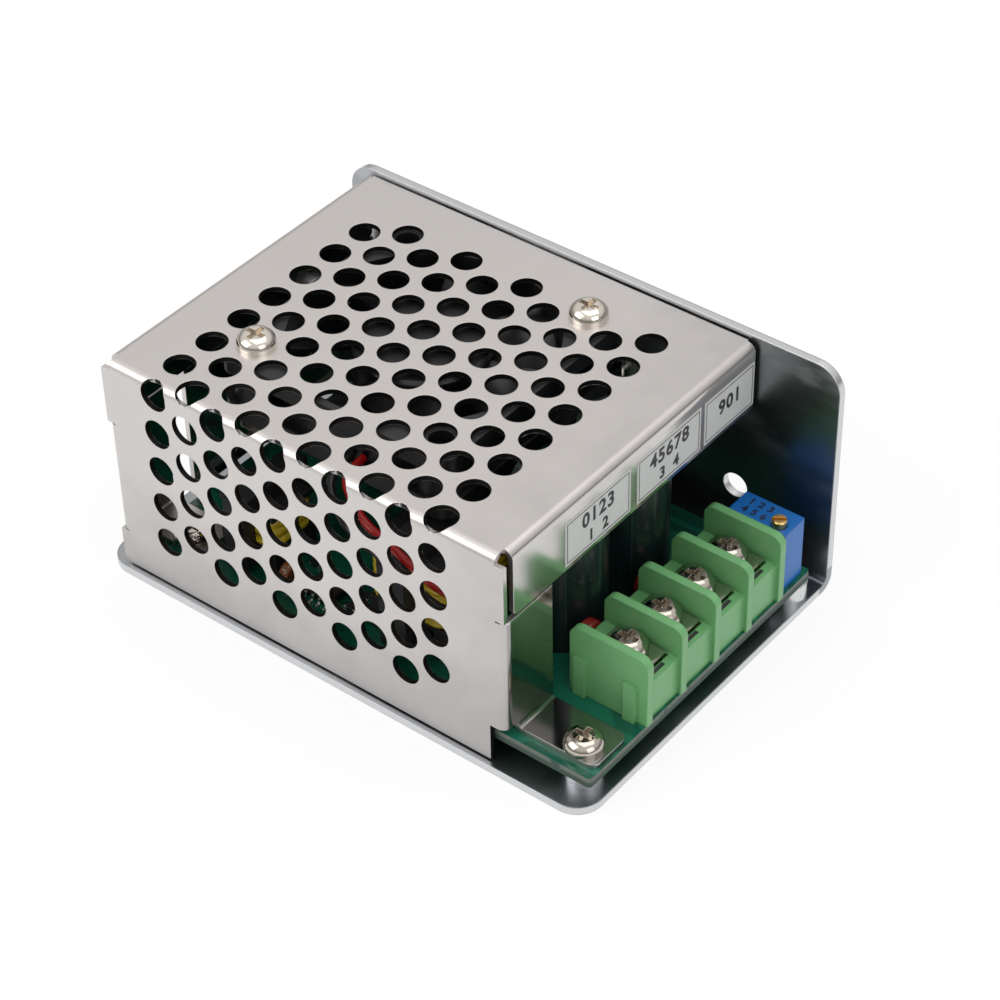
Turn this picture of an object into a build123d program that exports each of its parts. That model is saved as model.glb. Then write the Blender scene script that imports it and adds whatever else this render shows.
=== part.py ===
from build123d import *
import os
from math import cos, pi, radians, sin, sqrt, tan

os.makedirs("parts", exist_ok=True)

# Frame: X runs along the case to the terminal end, Y to the back wall, Z up.
# The origin is the middle of the case plate's underside. Lengths are in millimetres.

# Case plate, one bent sheet that is the floor and the back wall
case_length = 85.0
case_depth = 58.0
case_height = 38.0
plate = 1.2
plate_bend = 1.0
plate_corner = 4.0
wall_hole_d = 4.0
wall_hole_inset = 15.9
wall_hole_height = 11.0

# Circuit board on its standoffs
standoff_height = 3.2
standoff_d = 5.5
standoff_edge = 0.3
rivet_shank_d = 4.2
board = 1.6
board_start_gap = 6.0
board_far_gap = 3.8
board_front_gap = 0.5
board_near_gap = 2.1
board_corner = 0.6
board_hole_d = 3.3
board_hole_inset = 4.0
support_inset_x = 2.6
support_inset_y = 1.4

# Cover, one perforated sheet folded over the near side and the top
sheet = 0.8
sheet_bend = 0.6
cover_start_gap = 3.2
cover_end_gap = 13.2
cover_drop = 0.7
cover_near_gap = 0.9
cover_wall_gap = 0.3
cover_lift = 0.3
flange_drop = 10.6
flange_width = 10.1
flange_rim = 1.5
flange_corner = 0.9
flange_notch = 2.1
corner_cut = 0.9
tab_reach = 12.3
tab_width = 7.4
tab_corner = 1.3
tab_hole_offset = 8.7
tab_hole_d = 3.4
tab_leg = 0.3
board_notch = 2.6

# Perforation, punched in the flat sheet before it is folded
hole_d = 4.5
row_pitch = 6.4
columns = 10
rows = 12
first_column = 9.5
last_column_gap = 11.4
last_row_gap = 8.5
bend_strips = 4
strip_reach = 0.99

# Fan that hangs under the cover
fan_size = 40.0
fan_thickness = 10.0
fan_corner = 2.5
fan_wall = 1.1
fan_hole_inset = 4.0
fan_hole_d = 3.5
fan_flange = 2.6
fan_duct_wall = 0.9
fan_can_gap = 3.15
fan_centre_y = 3.0
hub_d = 20.0
hub_wall = 1.0
hub_edge = 0.5
hub_gap = 0.7
blades = 7
blade_thickness = 0.9
blade_tip_gap = 0.7
blade_root_angle = 50.0
blade_tip_angle = 30.0
blade_camber = 0.6
struts = 3
strut_width = 2.4
strut_height = 2.0
fan_boss_d = 7.0
fan_base = 1.2
fan_tube_floor = 0.6
bearing_tube_height = 7.0
shaft_d = 2.0
shaft_clearance = 0.04
bearing_d = 4.0
bearing_tube_d = 5.6
stator_d = 14.6
stator_height = 4.4
stator_poles = 4
stator_slot = 2.2
stator_slot_depth = 3.0
magnet_wall = 1.0

# Screws and nuts, one thread size for the case
screw_d = 3.0
screw_shank_d = 2.9
screw_head_d = 5.5
screw_head_height = 1.9
head_flat_d = 3.0
head_rim = 0.35
head_dome = 0.85
board_screw_length = 5.0
cover_screw_length = 14.0
nut_width = 5.5
nut_height = 2.4
recess_width = 0.8
recess_length = 2.9
recess_depth = 1.0
cover_screw_hole_d = 3.2

# Barrier terminal block
ways = 4
terminal_far_gap = 0.92
fin = 1.3
terminal_length = 12.6
terminal_front_overhang = 0.2
terminal_near_gap = 12.1
ledge_height = 6.5
ledge_setback = 0.6
fin_height = 11.3
fin_corner = 1.6
rib_width = 1.9
rib_thickness = 0.6
rib_inset = 0.9
pocket_depth = 1.0
pocket_front = 1.4
pocket_length = 8.6
contact = 0.8
contact_side_gap = 0.56
clamp = 0.8
clamp_side_gap = 0.46
tongue_inset = 1.0
tongue_drop = 1.9
slot_side_gap = 0.66
terminal_screw_d = 3.4
head_side_gap = 0.36
terminal_head_height = 2.3
terminal_screw_length = 4.6
terminal_screw_back = 6.4
contact_pin_d = 1.0
pin_below_board = 1.4

# Multi-turn trimmer
trimmer_length = 9.5
trimmer_width = 4.8
trimmer_height = 10.0
trimmer_foot = 0.4
trimmer_front_gap = 0.6
trimmer_far_gap = 1.3
trimmer_screw_d = 2.2
trimmer_screw_head = 1.1
trimmer_screw_inset_x = 2.0
trimmer_screw_inset_y = 1.5
trimmer_screw_depth = 4.0
trimmer_screw_clearance = 0.05
trimmer_slot = 0.6
trimmer_slot_angle = 35.0
trimmer_edge = 0.2
trimmer_screw_edge = 0.15
trimmer_pin_pitch = 2.54
trimmer_pin_d = 0.6
trimmer_pin_inset = 1.2
trimmer_foot_length = 1.6

# Inductors: a wound bobbin on the middle leg of two E cores, one large and one small
main_coil_can_gap = 0.45
main_coil_front_gap = 3.6
main_coil_lift = 1.5
main_core_span = 21.4
main_core_fan_gap = 2.0
main_core_thickness = 4.5
main_outer_leg = 3.0
main_middle_leg = 5.6
main_yoke = 3.2
main_coil_width = 13.4
main_rail_pins = 4
filter_coil_inset = 15.5
filter_coil_front_gap = 4.0
filter_coil_lift = 1.2
filter_core_span = 13.6
filter_core_height = 11.5
filter_core_thickness = 3.6
filter_outer_leg = 2.2
filter_middle_leg = 3.6
filter_yoke = 2.4
filter_coil_width = 9.8
filter_rail_pins = 3
bobbin_wall = 0.8
bobbin_rail = 2.4
winding_lip = 0.4
winding_corner = 1.6
coil_pin_d = 0.8
coil_pin_pitch = 3.4
coil_pin_depth = 2.0

# Electrolytic capacitors, two large beside the fan and two small under it
large_can_d = 12.5
large_can_height = 25.0
small_can_d = 10.0
small_can_height = 16.0
large_can_setback = 8.8
large_cans_y = [-5.0, 9.0]
small_can_inset = 14.5
small_can_pitch = 12.0
small_can_far_gap = 16.0
can_neck = 1.6
can_groove = 0.5
can_corner = 0.8
can_lead_d = 0.6
can_lead_pitch = 5.0
can_lead_depth = 0.8
sleeve_wall = 0.2
sleeve_lip = 0.9

# Dipped capacitors, two behind the terminal block and a small one near the chip
dipped_setback = 1.3
dipped_y = [-9.0, 4.9]
dipped_width = 5.5
dipped_height = 6.0
dipped_thickness = 2.0
small_dipped_chip_x = 5.1
small_dipped_chip_y = 1.5
small_dipped_width = 4.0
small_dipped_height = 3.2
small_dipped_thickness = 1.8
dipped_lift = 0.8
dipped_edge = 0.6
dipped_lead_d = 0.5
dipped_lead_depth = 1.6
dipped_lead_pitch = 2.54

# Control chip with eight gull-wing pins
chip_coil_gap = 15.7
chip_front_gap = 8.1
chip_length = 4.9
chip_width = 3.9
chip_height = 1.5
chip_lift = 0.15
chip_edge = 0.25
chip_pins = 4
chip_pin_pitch = 1.27
chip_pin_width = 0.42
chip_pin = 0.2
chip_pin_reach = 1.05
chip_pin_shoulder = 0.35
chip_pin_height = 0.9

# Power devices screwed to the back wall over insulating pads
device_count = 2
device_inset = 21.0
device_pitch = 21.5
device_foot = 10.5
device_width = 10.0
device_height = 15.9
device_case_height = 9.2
device_thickness = 4.5
device_tab = 1.3
device_edge = 0.5
device_hole_d = 3.7
device_hole_drop = 2.8
device_lead_back = 2.5
device_lead_width = 0.7
device_lead = 0.5
device_lead_pitch = 2.54
device_lead_root = 1.0
device_lead_straight = 0.9
device_lead_y = 22.4
pad = 0.2
pad_margin = 0.5

# Fan socket and plug, and the pair of leads between the fan and the plug
socket_inset = 8.3
socket_front_gap = 8.3
socket_length = 6.6
socket_width = 4.8
socket_height = 3.6
socket_wall = 0.7
socket_floor = 1.2
plug_height = 6.2
socket_pin_d = 0.64
socket_pin_pitch = 2.54
socket_pin_top = 4.4
lead_d = 1.2
arc_share = 0.45

# Lead routes: X is from the fan's middle and Z from its underside. The first two points have Y
# from the fan's near edge, and the next three from the cover's side.
red_start = [(5.4, 0.6, 3.8), (5.4, -3.7, 3.2)]
red_run = [(11.1, 3.7, 1.7), (18.1, 2.8, 0.2), (24.8, 3.6, -4.1)]
red_drop = 5.4
black_start = [(3.6, 0.3, 3.8), (3.7, -5.2, 2.8)]
black_run = [(9.8, 2.4, -0.1), (17.8, 2.1, -1.9), (26.0, 2.4, -6.1)]
black_drop = 4.6

# Clearances
seat_gap = 0.05
loose_gap = 0.3
rivet_clearance = 0.05

# Places worked out from the sizes above
left = -case_length / 2
right = case_length / 2
near = -case_depth / 2
far = case_depth / 2
wall_face = far - plate
board_bottom = plate + standoff_height
board_top = board_bottom + board
board_right = right - board_front_gap
board_left = left + board_start_gap
board_near = near + board_near_gap
board_far = wall_face - board_far_gap
board_length = board_right - board_left
board_depth = board_far - board_near

cover_left = left + cover_start_gap
cover_right = right - cover_end_gap
cover_length = cover_right - cover_left
cover_near = near + cover_near_gap
cover_height = case_height - cover_drop
cover_far = wall_face - cover_wall_gap
bend_out = sheet_bend + sheet
tab_top = board_top + sheet
tab_bend_top = tab_top + sheet_bend + tab_leg
flange_bottom = cover_height - flange_drop
side_flange_top = flange_bottom - loose_gap
column_pitch = (cover_length - first_column - last_column_gap) / (columns - 1)

near_hole_y = board_near + board_hole_inset
far_hole_y = board_far - board_hole_inset
right_hole_x = cover_right + tab_hole_offset
left_hole_x = cover_left + tab_hole_offset
tab_holes = [(left_hole_x, near_hole_y), (right_hole_x, near_hole_y)]
board_holes = [*tab_holes, (left_hole_x, far_hole_y)]
supports = [*board_holes, (board_right - support_inset_x, board_far - support_inset_y)]

terminal_right = board_right + terminal_front_overhang
terminal_left = terminal_right - terminal_length
terminal_screw_x = terminal_right - terminal_screw_back
trimmer_near = board_far - trimmer_far_gap - trimmer_width
terminal_far = trimmer_near - terminal_far_gap
terminal_run = terminal_far - fin - board_near - terminal_near_gap
terminal_pitch = terminal_run / ways
bay = terminal_pitch - fin
contact_width = bay - 2 * contact_side_gap
clamp_width = bay - 2 * clamp_side_gap
tongue_width = clamp_width - 2 * tongue_inset
slot_width = bay - 2 * slot_side_gap
terminal_head_d = bay - 2 * head_side_gap
fins_y = [
    board_near + terminal_near_gap + fin / 2 + way * terminal_pitch for way in range(ways + 1)
]
bays_y = [y + terminal_pitch / 2 for y in fins_y[:-1]]
ledge_top = board_top + ledge_height
pocket_floor = ledge_top - pocket_depth
pocket_right = terminal_right - ledge_setback - pocket_front
pocket_left = pocket_right - pocket_length
clamp_front = pocket_right - loose_gap
contact_left = pocket_left + loose_gap
contact_pin_x = contact_left + contact_pin_d
clamp_bottom = pocket_floor + contact
clamp_top = clamp_bottom + clamp
pin_end = board_bottom - pin_below_board

trimmer_right = board_right - trimmer_front_gap
trimmer_x = trimmer_right - trimmer_length / 2
trimmer_y = trimmer_near + trimmer_width / 2
trimmer_top = board_top + trimmer_height
trimmer_pins_at = [
    (trimmer_x + side * trimmer_pin_pitch, trimmer_near + trimmer_pin_inset)
    for side in (-1, 0, 1)
]

large_can_x = terminal_left - large_can_setback
large_can_left = large_can_x - large_can_d / 2
fan_bore_d = fan_size - 2 * fan_wall
fan_hole_pitch = fan_size - 2 * fan_hole_inset
fan_centre_x = large_can_left - fan_can_gap - fan_size / 2
fan_centre = (fan_centre_x, fan_centre_y)
fan_near = fan_centre_y - fan_size / 2
fan_top = cover_height - sheet
fan_bottom = fan_top - fan_thickness
fan_screws = [
    (fan_centre_x - fan_hole_pitch / 2, fan_centre_y - fan_hole_pitch / 2),
    (fan_centre_x + fan_hole_pitch / 2, fan_centre_y + fan_hole_pitch / 2),
]

main_coil_x = large_can_left - main_coil_can_gap - main_coil_width / 2
main_coil_y = cover_near + main_coil_front_gap + main_core_span / 2
main_core_height = fan_bottom - main_core_fan_gap - board_top - main_coil_lift
filter_coil_x = board_left + filter_coil_inset
filter_coil_y = cover_near + filter_coil_front_gap + filter_core_span / 2
small_cans_x = [board_left + small_can_inset + number * small_can_pitch for number in range(2)]
small_can_y = board_far - small_can_far_gap
dipped_x = terminal_left - dipped_setback
chip_x = main_coil_x - chip_coil_gap
chip_y = cover_near + chip_front_gap
small_dipped_x = chip_x - small_dipped_chip_x
small_dipped_y = chip_y - small_dipped_chip_y
socket_x = cover_right - socket_inset
socket_y = cover_near + socket_front_gap

devices_x = [board_left + device_inset + number * device_pitch for number in range(device_count)]
device_back = wall_face - pad
device_hole_z = device_foot + device_height - device_hole_drop
device_lead_face = device_back - device_lead_back
device_leads_x = [x + side * device_lead_pitch for x in devices_x for side in (-1, 0, 1)]

capacitors = [(large_can_x, y, large_can_d, large_can_height) for y in large_cans_y]
capacitors += [(x, small_can_y, small_can_d, small_can_height) for x in small_cans_x]
can_leads = [
    (x, y + side * can_lead_pitch / 2) for x, y, _, _ in capacitors for side in (-1, 1)
]
dipped = [(dipped_x, y, dipped_width, dipped_height, dipped_thickness) for y in dipped_y]
dipped.append(
    (
        small_dipped_x,
        small_dipped_y,
        small_dipped_width,
        small_dipped_height,
        small_dipped_thickness,
    )
)
dipped_leads_at = [
    (x, y + side * dipped_lead_pitch / 2) for x, y, _, _, _ in dipped for side in (-1, 1)
]
socket_pins_at = [(socket_x + side * socket_pin_pitch / 2, socket_y) for side in (-1, 1)]
plug_top = board_top + socket_floor + plug_height


def rail_pins(x, y, coil_width, count):
    """Lists the places of an inductor's pins, one row under each rail of its bobbin."""
    rail_x = (coil_width - bobbin_rail) / 2
    rows_y = [y + (pin - (count - 1) / 2) * coil_pin_pitch for pin in range(count)]
    return [(x + side * rail_x, row_y) for side in (-1, 1) for row_y in rows_y]


main_pins = rail_pins(main_coil_x, main_coil_y, main_coil_width, main_rail_pins)
filter_pins = rail_pins(filter_coil_x, filter_coil_y, filter_coil_width, filter_rail_pins)


def save(part, name):
    """Labels a finished piece and writes it under its name."""
    part.label = name
    export_step(part, f"parts/{name}.step")


# Base plate: an L section along the case, with rounded corners and two holes in the wall
with BuildPart() as base_plate:
    with BuildSketch(Plane.YZ.offset(left)):
        with BuildLine():
            outside = FilletPolyline(
                (near, 0), (far, 0), (far, case_height), radius=plate_bend + plate
            )
            inside = FilletPolyline(
                (near, plate), (wall_face, plate), (wall_face, case_height), radius=plate_bend
            )
            Line(outside @ 0, inside @ 0)
            Line(outside @ 1, inside @ 1)
        make_face()
    extrude(amount=case_length)
    fillet(base_plate.edges().filter_by(Axis.Z).group_by(Axis.Y)[0], plate_corner)
    fillet(base_plate.edges().filter_by(Axis.Y).group_by(Axis.Z)[-1], plate_corner)
    with Locations(*[(x, y, plate) for x, y in supports]):
        Hole(rivet_shank_d / 2 + rivet_clearance)
    wall_holes = [left + wall_hole_inset, right - wall_hole_inset]
    with BuildSketch(Plane.XZ.offset(-far)):
        with Locations(*[(x, wall_hole_height) for x in wall_holes]):
            Circle(wall_hole_d / 2)
        with Locations(*[(x, device_hole_z) for x in devices_x]):
            Circle(screw_d / 2)
    extrude(amount=2 * plate, both=True, mode=Mode.SUBTRACT)
save(base_plate.part, "base_plate")

# Standoffs: a round collar on the floor and a shank riveted flush through it
with BuildPart() as standoffs:
    with BuildSketch(Plane.XY.offset(plate)):
        with Locations(*supports):
            Circle(standoff_d / 2)
    extrude(amount=standoff_height)
    with BuildSketch(Plane.XY):
        with Locations(*supports):
            Circle(rivet_shank_d / 2)
    extrude(amount=plate)
    chamfer(standoffs.edges().filter_by(GeomType.CIRCLE).group_by(Axis.Z)[-1], standoff_edge)
    with BuildSketch(Plane.XY):
        with Locations(*supports):
            Circle(screw_d / 2)
    extrude(amount=board_bottom, mode=Mode.SUBTRACT)
save(standoffs.part, "board_standoffs")


def pan_screw(head_seat, length, head_d, head_height, shank_d):
    """Makes one pan-head screw with a cross recess, upright on its seat height."""
    with BuildPart() as screw:
        with BuildSketch(Plane.XZ):
            with BuildLine():
                Polyline(
                    (0, head_seat - length),
                    (shank_d / 2, head_seat - length),
                    (shank_d / 2, head_seat),
                    (head_d / 2, head_seat),
                    (head_d / 2, head_seat + head_rim * head_height),
                )
                RadiusArc(
                    (head_d / 2, head_seat + head_rim * head_height),
                    (head_flat_d / 2, head_seat + head_height),
                    -head_dome * head_height,
                )
                Polyline(
                    (head_flat_d / 2, head_seat + head_height),
                    (0, head_seat + head_height),
                    (0, head_seat - length),
                )
            make_face()
        revolve(axis=Axis.Z)
        with BuildSketch(Plane.XY.offset(head_seat + head_height)):
            Rectangle(recess_length, recess_width)
            Rectangle(recess_width, recess_length)
        extrude(amount=-recess_depth, mode=Mode.SUBTRACT)
    return screw.part


# Board screws: two go through the cover's tabs, the third sits straight on the board
tab_screw = pan_screw(tab_top, board_screw_length, screw_head_d, screw_head_height, screw_shank_d)
plain_screw = pan_screw(
    board_top, board_screw_length, screw_head_d, screw_head_height, screw_shank_d
)
with BuildPart() as board_screws:
    with Locations(*tab_holes):
        add(tab_screw)
    with Locations((left_hole_x, far_hole_y)):
        add(plain_screw)
save(board_screws.part, "board_screws")

# Cover screws: long ones through the top and the whole fan, with nuts under the fan
cover_screw = pan_screw(
    cover_height, cover_screw_length, screw_head_d, screw_head_height, screw_shank_d
)
with BuildPart() as cover_screws:
    with Locations(*fan_screws):
        add(cover_screw)
save(cover_screws.part, "cover_screws")

with BuildPart() as fan_nuts:
    with BuildSketch(Plane.XY.offset(fan_bottom)):
        with Locations(*fan_screws):
            RegularPolygon(nut_width / 2, 6, major_radius=False)
            Circle(screw_d / 2, mode=Mode.SUBTRACT)
    extrude(amount=-nut_height)
save(fan_nuts.part, "fan_nuts")

# Perforation places on the flat sheet, measured from the start of the long bend.
# They carry on down the side, so the rows near the bend are folded with the sheet.
hole_r = hole_d / 2
punched = strip_reach * hole_r
neutral_r = sheet_bend + sheet / 2
bend_arc = neutral_r * pi / 2
top_flat_near = cover_near + bend_out
side_flat_top = cover_height - bend_out
top_holes = []
side_holes = []
bend_holes = []
for column in range(columns):
    hole_x = cover_left + first_column + column * column_pitch
    first_y = cover_far - last_row_gap - (1 - column % 2) * row_pitch / 2
    for row in range(rows):
        beyond = top_flat_near - (first_y - row * row_pitch)
        under_screw = any(
            sqrt((hole_x - x) ** 2 + (top_flat_near - beyond - y) ** 2) < hole_d
            for x, y in fan_screws
        )
        if under_screw:
            continue
        if beyond < hole_r:
            top_holes.append((hole_x, top_flat_near - beyond))
        if beyond > bend_arc - hole_r:
            side_holes.append((hole_x, side_flat_top - (beyond - bend_arc)))
        if -punched < beyond < bend_arc + punched:
            bend_holes.append((hole_x, beyond))

# Cover: the folded section, then the end flanges, the tabs and the punched holes
flat_left = cover_left + bend_out
flat_right = cover_right - bend_out
with BuildPart() as cover:
    with BuildSketch(Plane.YZ.offset(flat_left)):
        with BuildLine():
            outside = FilletPolyline(
                (cover_far, cover_height),
                (cover_near, cover_height),
                (cover_near, plate + cover_lift),
                radius=bend_out,
            )
            inside = FilletPolyline(
                (cover_far, cover_height - sheet),
                (cover_near + sheet, cover_height - sheet),
                (cover_near + sheet, plate + cover_lift),
                radius=sheet_bend,
            )
            Line(outside @ 0, inside @ 0)
            Line(outside @ 1, inside @ 1)
        make_face()
    extrude(amount=flat_right - flat_left)

    # Side sheet beyond the bend lines of its flanges
    with BuildSketch(Plane.XZ.offset(-cover_near)):
        with BuildLine():
            FilletPolyline(
                (cover_left, plate + cover_lift + corner_cut),
                (cover_left + corner_cut, plate + cover_lift),
                (flat_left, plate + cover_lift),
                (flat_left, tab_bend_top - loose_gap),
                (cover_left, tab_bend_top - loose_gap),
                radius=0,
                close=True,
            )
        make_face()
        for start, end in ((cover_left, flat_left), (flat_right, cover_right)):
            with BuildLine():
                Polyline(
                    (start, side_flange_top + loose_gap),
                    (end, side_flange_top + loose_gap),
                    (end, side_flat_top),
                    (start, side_flat_top),
                    close=True,
                )
            make_face()
    extrude(amount=-sheet)
    with BuildSketch(Plane.XZ.offset(-cover_near)):
        with Locations((cover_right - board_notch, plate + cover_lift)):
            Rectangle(
                board_notch,
                tab_bend_top - plate - cover_lift,
                align=(Align.MIN, Align.MIN),
            )
    extrude(amount=-sheet, mode=Mode.SUBTRACT)

    # Top flanges, bent down at both ends
    for flat_x, edge_x in ((flat_right, cover_right), (flat_left, cover_left)):
        turn = 1 if edge_x > flat_x else -1
        with BuildSketch(Plane.XZ.offset(-(cover_near + flange_notch))):
            with BuildLine():
                outside = FilletPolyline(
                    (flat_x - turn * sheet, cover_height),
                    (edge_x, cover_height),
                    (edge_x, flange_bottom + flange_rim),
                    radius=bend_out,
                )
                inside = FilletPolyline(
                    (flat_x - turn * sheet, cover_height - sheet),
                    (edge_x - turn * sheet, cover_height - sheet),
                    (edge_x - turn * sheet, flange_bottom + flange_rim),
                    radius=sheet_bend,
                )
                Line(outside @ 0, inside @ 0)
                Line(outside @ 1, inside @ 1)
            make_face()
        extrude(amount=-(cover_far - loose_gap - cover_near - flange_notch))
        with BuildSketch(Plane.YZ.offset(edge_x)):
            with BuildLine():
                FilletPolyline(
                    (cover_near + flange_notch, flange_bottom + flange_rim),
                    (cover_near + flange_notch, flange_bottom),
                    (cover_far - loose_gap, flange_bottom),
                    (cover_far - loose_gap, flange_bottom + flange_rim),
                    radius=[0, flange_corner, flange_corner, 0],
                    close=True,
                )
            make_face()
        extrude(amount=-turn * sheet)

        # Side flange, bent inward below the top flange
        with BuildSketch(Plane.XY.offset(tab_bend_top)):
            with BuildLine():
                outside = FilletPolyline(
                    (flat_x - turn * sheet, cover_near),
                    (edge_x, cover_near),
                    (edge_x, cover_near + flange_width),
                    radius=bend_out,
                )
                inside = FilletPolyline(
                    (flat_x - turn * sheet, cover_near + sheet),
                    (edge_x - turn * sheet, cover_near + sheet),
                    (edge_x - turn * sheet, cover_near + flange_width),
                    radius=sheet_bend,
                )
                Line(outside @ 0, inside @ 0)
                Line(outside @ 1, inside @ 1)
            make_face()
        extrude(amount=side_flange_top - tab_bend_top)

        # Tab, bent outward from the flange's foot to lie on the board
        inner_x = min(edge_x, edge_x - turn * sheet)
        tab_end = edge_x + tab_reach
        with BuildSketch(Plane.XZ.offset(-(cover_near + flange_width))):
            with BuildLine():
                outside = FilletPolyline(
                    (inner_x, tab_bend_top),
                    (inner_x, board_top),
                    (inner_x + 2 * bend_out, board_top),
                    radius=bend_out,
                )
                inside = FilletPolyline(
                    (inner_x + sheet, tab_bend_top),
                    (inner_x + sheet, tab_top),
                    (inner_x + 2 * bend_out, tab_top),
                    radius=sheet_bend,
                )
                Line(outside @ 0, inside @ 0)
                Line(outside @ 1, inside @ 1)
            make_face()
        extrude(amount=tab_width)
        with BuildSketch(Plane.XY.offset(board_top)):
            with BuildLine():
                FilletPolyline(
                    (inner_x + 2 * bend_out, cover_near + flange_width - tab_width),
                    (tab_end, cover_near + flange_width - tab_width),
                    (tab_end, cover_near + flange_width),
                    (inner_x + 2 * bend_out, cover_near + flange_width),
                    radius=[0, tab_corner, tab_corner, 0],
                    close=True,
                )
            make_face()
            with Locations((edge_x + tab_hole_offset, near_hole_y)):
                Circle(tab_hole_d / 2, mode=Mode.SUBTRACT)
        extrude(amount=sheet)

    # Holes in the flat of the top, and of the side
    with BuildSketch(Plane.XY.offset(cover_height)):
        with Locations(*top_holes):
            Circle(hole_r)
        with Locations((flat_left, top_flat_near)):
            Rectangle(
                cover_length, case_depth, align=(Align.MIN, Align.MIN), mode=Mode.INTERSECT
            )
        with Locations(*fan_screws):
            Circle(cover_screw_hole_d / 2)
    extrude(amount=-sheet, mode=Mode.SUBTRACT)
    with BuildSketch(Plane.XZ.offset(-cover_near)):
        with Locations(*side_holes):
            Circle(hole_r)
        with Locations((flat_left, side_flat_top)):
            Rectangle(
                cover_length, case_height, align=(Align.MIN, Align.MAX), mode=Mode.INTERSECT
            )
    extrude(amount=-sheet, mode=Mode.SUBTRACT)

    # Holes folded with the bend: strips as wide as the punched circle is at each angle
    for hole_x, beyond in bend_holes:
        first = max(0, beyond - punched)
        last = min(bend_arc, beyond + punched)
        for step in range(bend_strips + 1):
            along = first + (last - first) * step / bend_strips
            width = 2 * sqrt(hole_r**2 - (along - beyond) ** 2)
            angle = along / neutral_r
            section = Plane(
                origin=(hole_x, top_flat_near, side_flat_top),
                x_dir=(1, 0, 0),
                z_dir=(0, -cos(angle), -sin(angle)),
            )
            with BuildSketch(section):
                with Locations((0, neutral_r)):
                    Rectangle(width, 2 * sheet)
        loft(ruled=True, mode=Mode.SUBTRACT)
save(cover.part, "cover")

# Circuit board, drilled for its screws and for every pin and lead that is soldered into it
soldered = [
    ([(contact_pin_x, y) for y in bays_y], contact_pin_d),
    (trimmer_pins_at, trimmer_pin_d),
    (main_pins + filter_pins, coil_pin_d),
    (can_leads, can_lead_d),
    (dipped_leads_at, dipped_lead_d),
    (socket_pins_at, socket_pin_d),
    (
        [(x, device_lead_y + device_lead / 2) for x in device_leads_x],
        sqrt(device_lead_width**2 + device_lead**2),
    ),
]
with BuildPart() as circuit_board:
    with BuildSketch(Plane.XY.offset(board_bottom)):
        with Locations(((board_left + board_right) / 2, (board_near + board_far) / 2)):
            RectangleRounded(board_length, board_depth, board_corner)
        with Locations(*board_holes):
            Circle(board_hole_d / 2, mode=Mode.SUBTRACT)
        for pin_places, drilled_d in soldered:
            with Locations(*pin_places):
                Circle(drilled_d / 2 + seat_gap, mode=Mode.SUBTRACT)
    extrude(amount=board)
save(circuit_board.part, "circuit_board")

# Terminal block: a ledge with a fin between the ways, ribs on the near face, one pocket per way
housing_near = fins_y[0] - fin / 2
housing_far = fins_y[-1] + fin / 2
ribs_x = [
    terminal_left + rib_inset + rib_width / 2,
    terminal_right - rib_inset - fin_corner / 2 - rib_width / 2,
]
with BuildPart() as terminal_housing:
    with BuildSketch(Plane.XZ.offset(-housing_near)):
        with Locations((terminal_left, board_top)):
            Rectangle(
                terminal_length - ledge_setback, ledge_height, align=(Align.MIN, Align.MIN)
            )
    extrude(amount=housing_near - housing_far)
    for fin_y in fins_y:
        with BuildSketch(Plane.XZ.offset(fin / 2 - fin_y)):
            with BuildLine():
                FilletPolyline(
                    (terminal_left, board_top),
                    (terminal_right, board_top),
                    (terminal_right, board_top + fin_height),
                    (terminal_left, board_top + fin_height),
                    radius=[0, 0, fin_corner, fin_corner],
                    close=True,
                )
            make_face()
        extrude(amount=-fin)
    with BuildSketch(Plane.XZ.offset(-housing_near)):
        with Locations(*[(x, board_top + ledge_height / 2) for x in ribs_x]):
            Rectangle(rib_width, ledge_height)
    extrude(amount=rib_thickness)
    with BuildSketch(Plane.XY.offset(ledge_top)):
        with Locations(*[((pocket_left + pocket_right) / 2, y) for y in bays_y]):
            Rectangle(pocket_length, clamp_width + 2 * loose_gap)
    extrude(amount=-pocket_depth, mode=Mode.SUBTRACT)
    with BuildSketch(Plane.XY.offset(pocket_floor)):
        with Locations(*[(clamp_front - clamp / 2, y) for y in bays_y]):
            Rectangle(clamp + 2 * loose_gap, slot_width)
    extrude(amount=contact + clamp - tongue_drop - loose_gap, mode=Mode.SUBTRACT)
    with BuildSketch(Plane.XY.offset(pocket_floor)):
        with Locations(*[(terminal_screw_x, y) for y in bays_y]):
            Circle(terminal_screw_d / 2 + loose_gap)
    extrude(amount=contact + clamp - terminal_screw_length - loose_gap, mode=Mode.SUBTRACT)
    with BuildSketch(Plane.XY.offset(board_top)):
        with Locations(*[(contact_pin_x, y) for y in bays_y]):
            Circle(contact_pin_d / 2 + seat_gap)
    extrude(amount=ledge_height, mode=Mode.SUBTRACT)
save(terminal_housing.part, "terminal_housing")

# Contact strips: a tapped plate in each pocket, on a pin that goes down through the board
contact_length = clamp_front - clamp - loose_gap - contact_left
with BuildPart() as terminal_contacts:
    with BuildSketch(Plane.XY.offset(pocket_floor)):
        with Locations(*[(contact_left, y) for y in bays_y]):
            Rectangle(contact_length, contact_width, align=(Align.MIN, Align.CENTER))
        with Locations(*[(terminal_screw_x, y) for y in bays_y]):
            Circle(terminal_screw_d / 2 + seat_gap, mode=Mode.SUBTRACT)
    extrude(amount=contact)
    with BuildSketch(Plane.XY.offset(pocket_floor)):
        with Locations(*[(contact_pin_x, y) for y in bays_y]):
            Circle(contact_pin_d / 2)
    extrude(amount=pin_end - pocket_floor)
save(terminal_contacts.part, "terminal_contacts")

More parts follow.
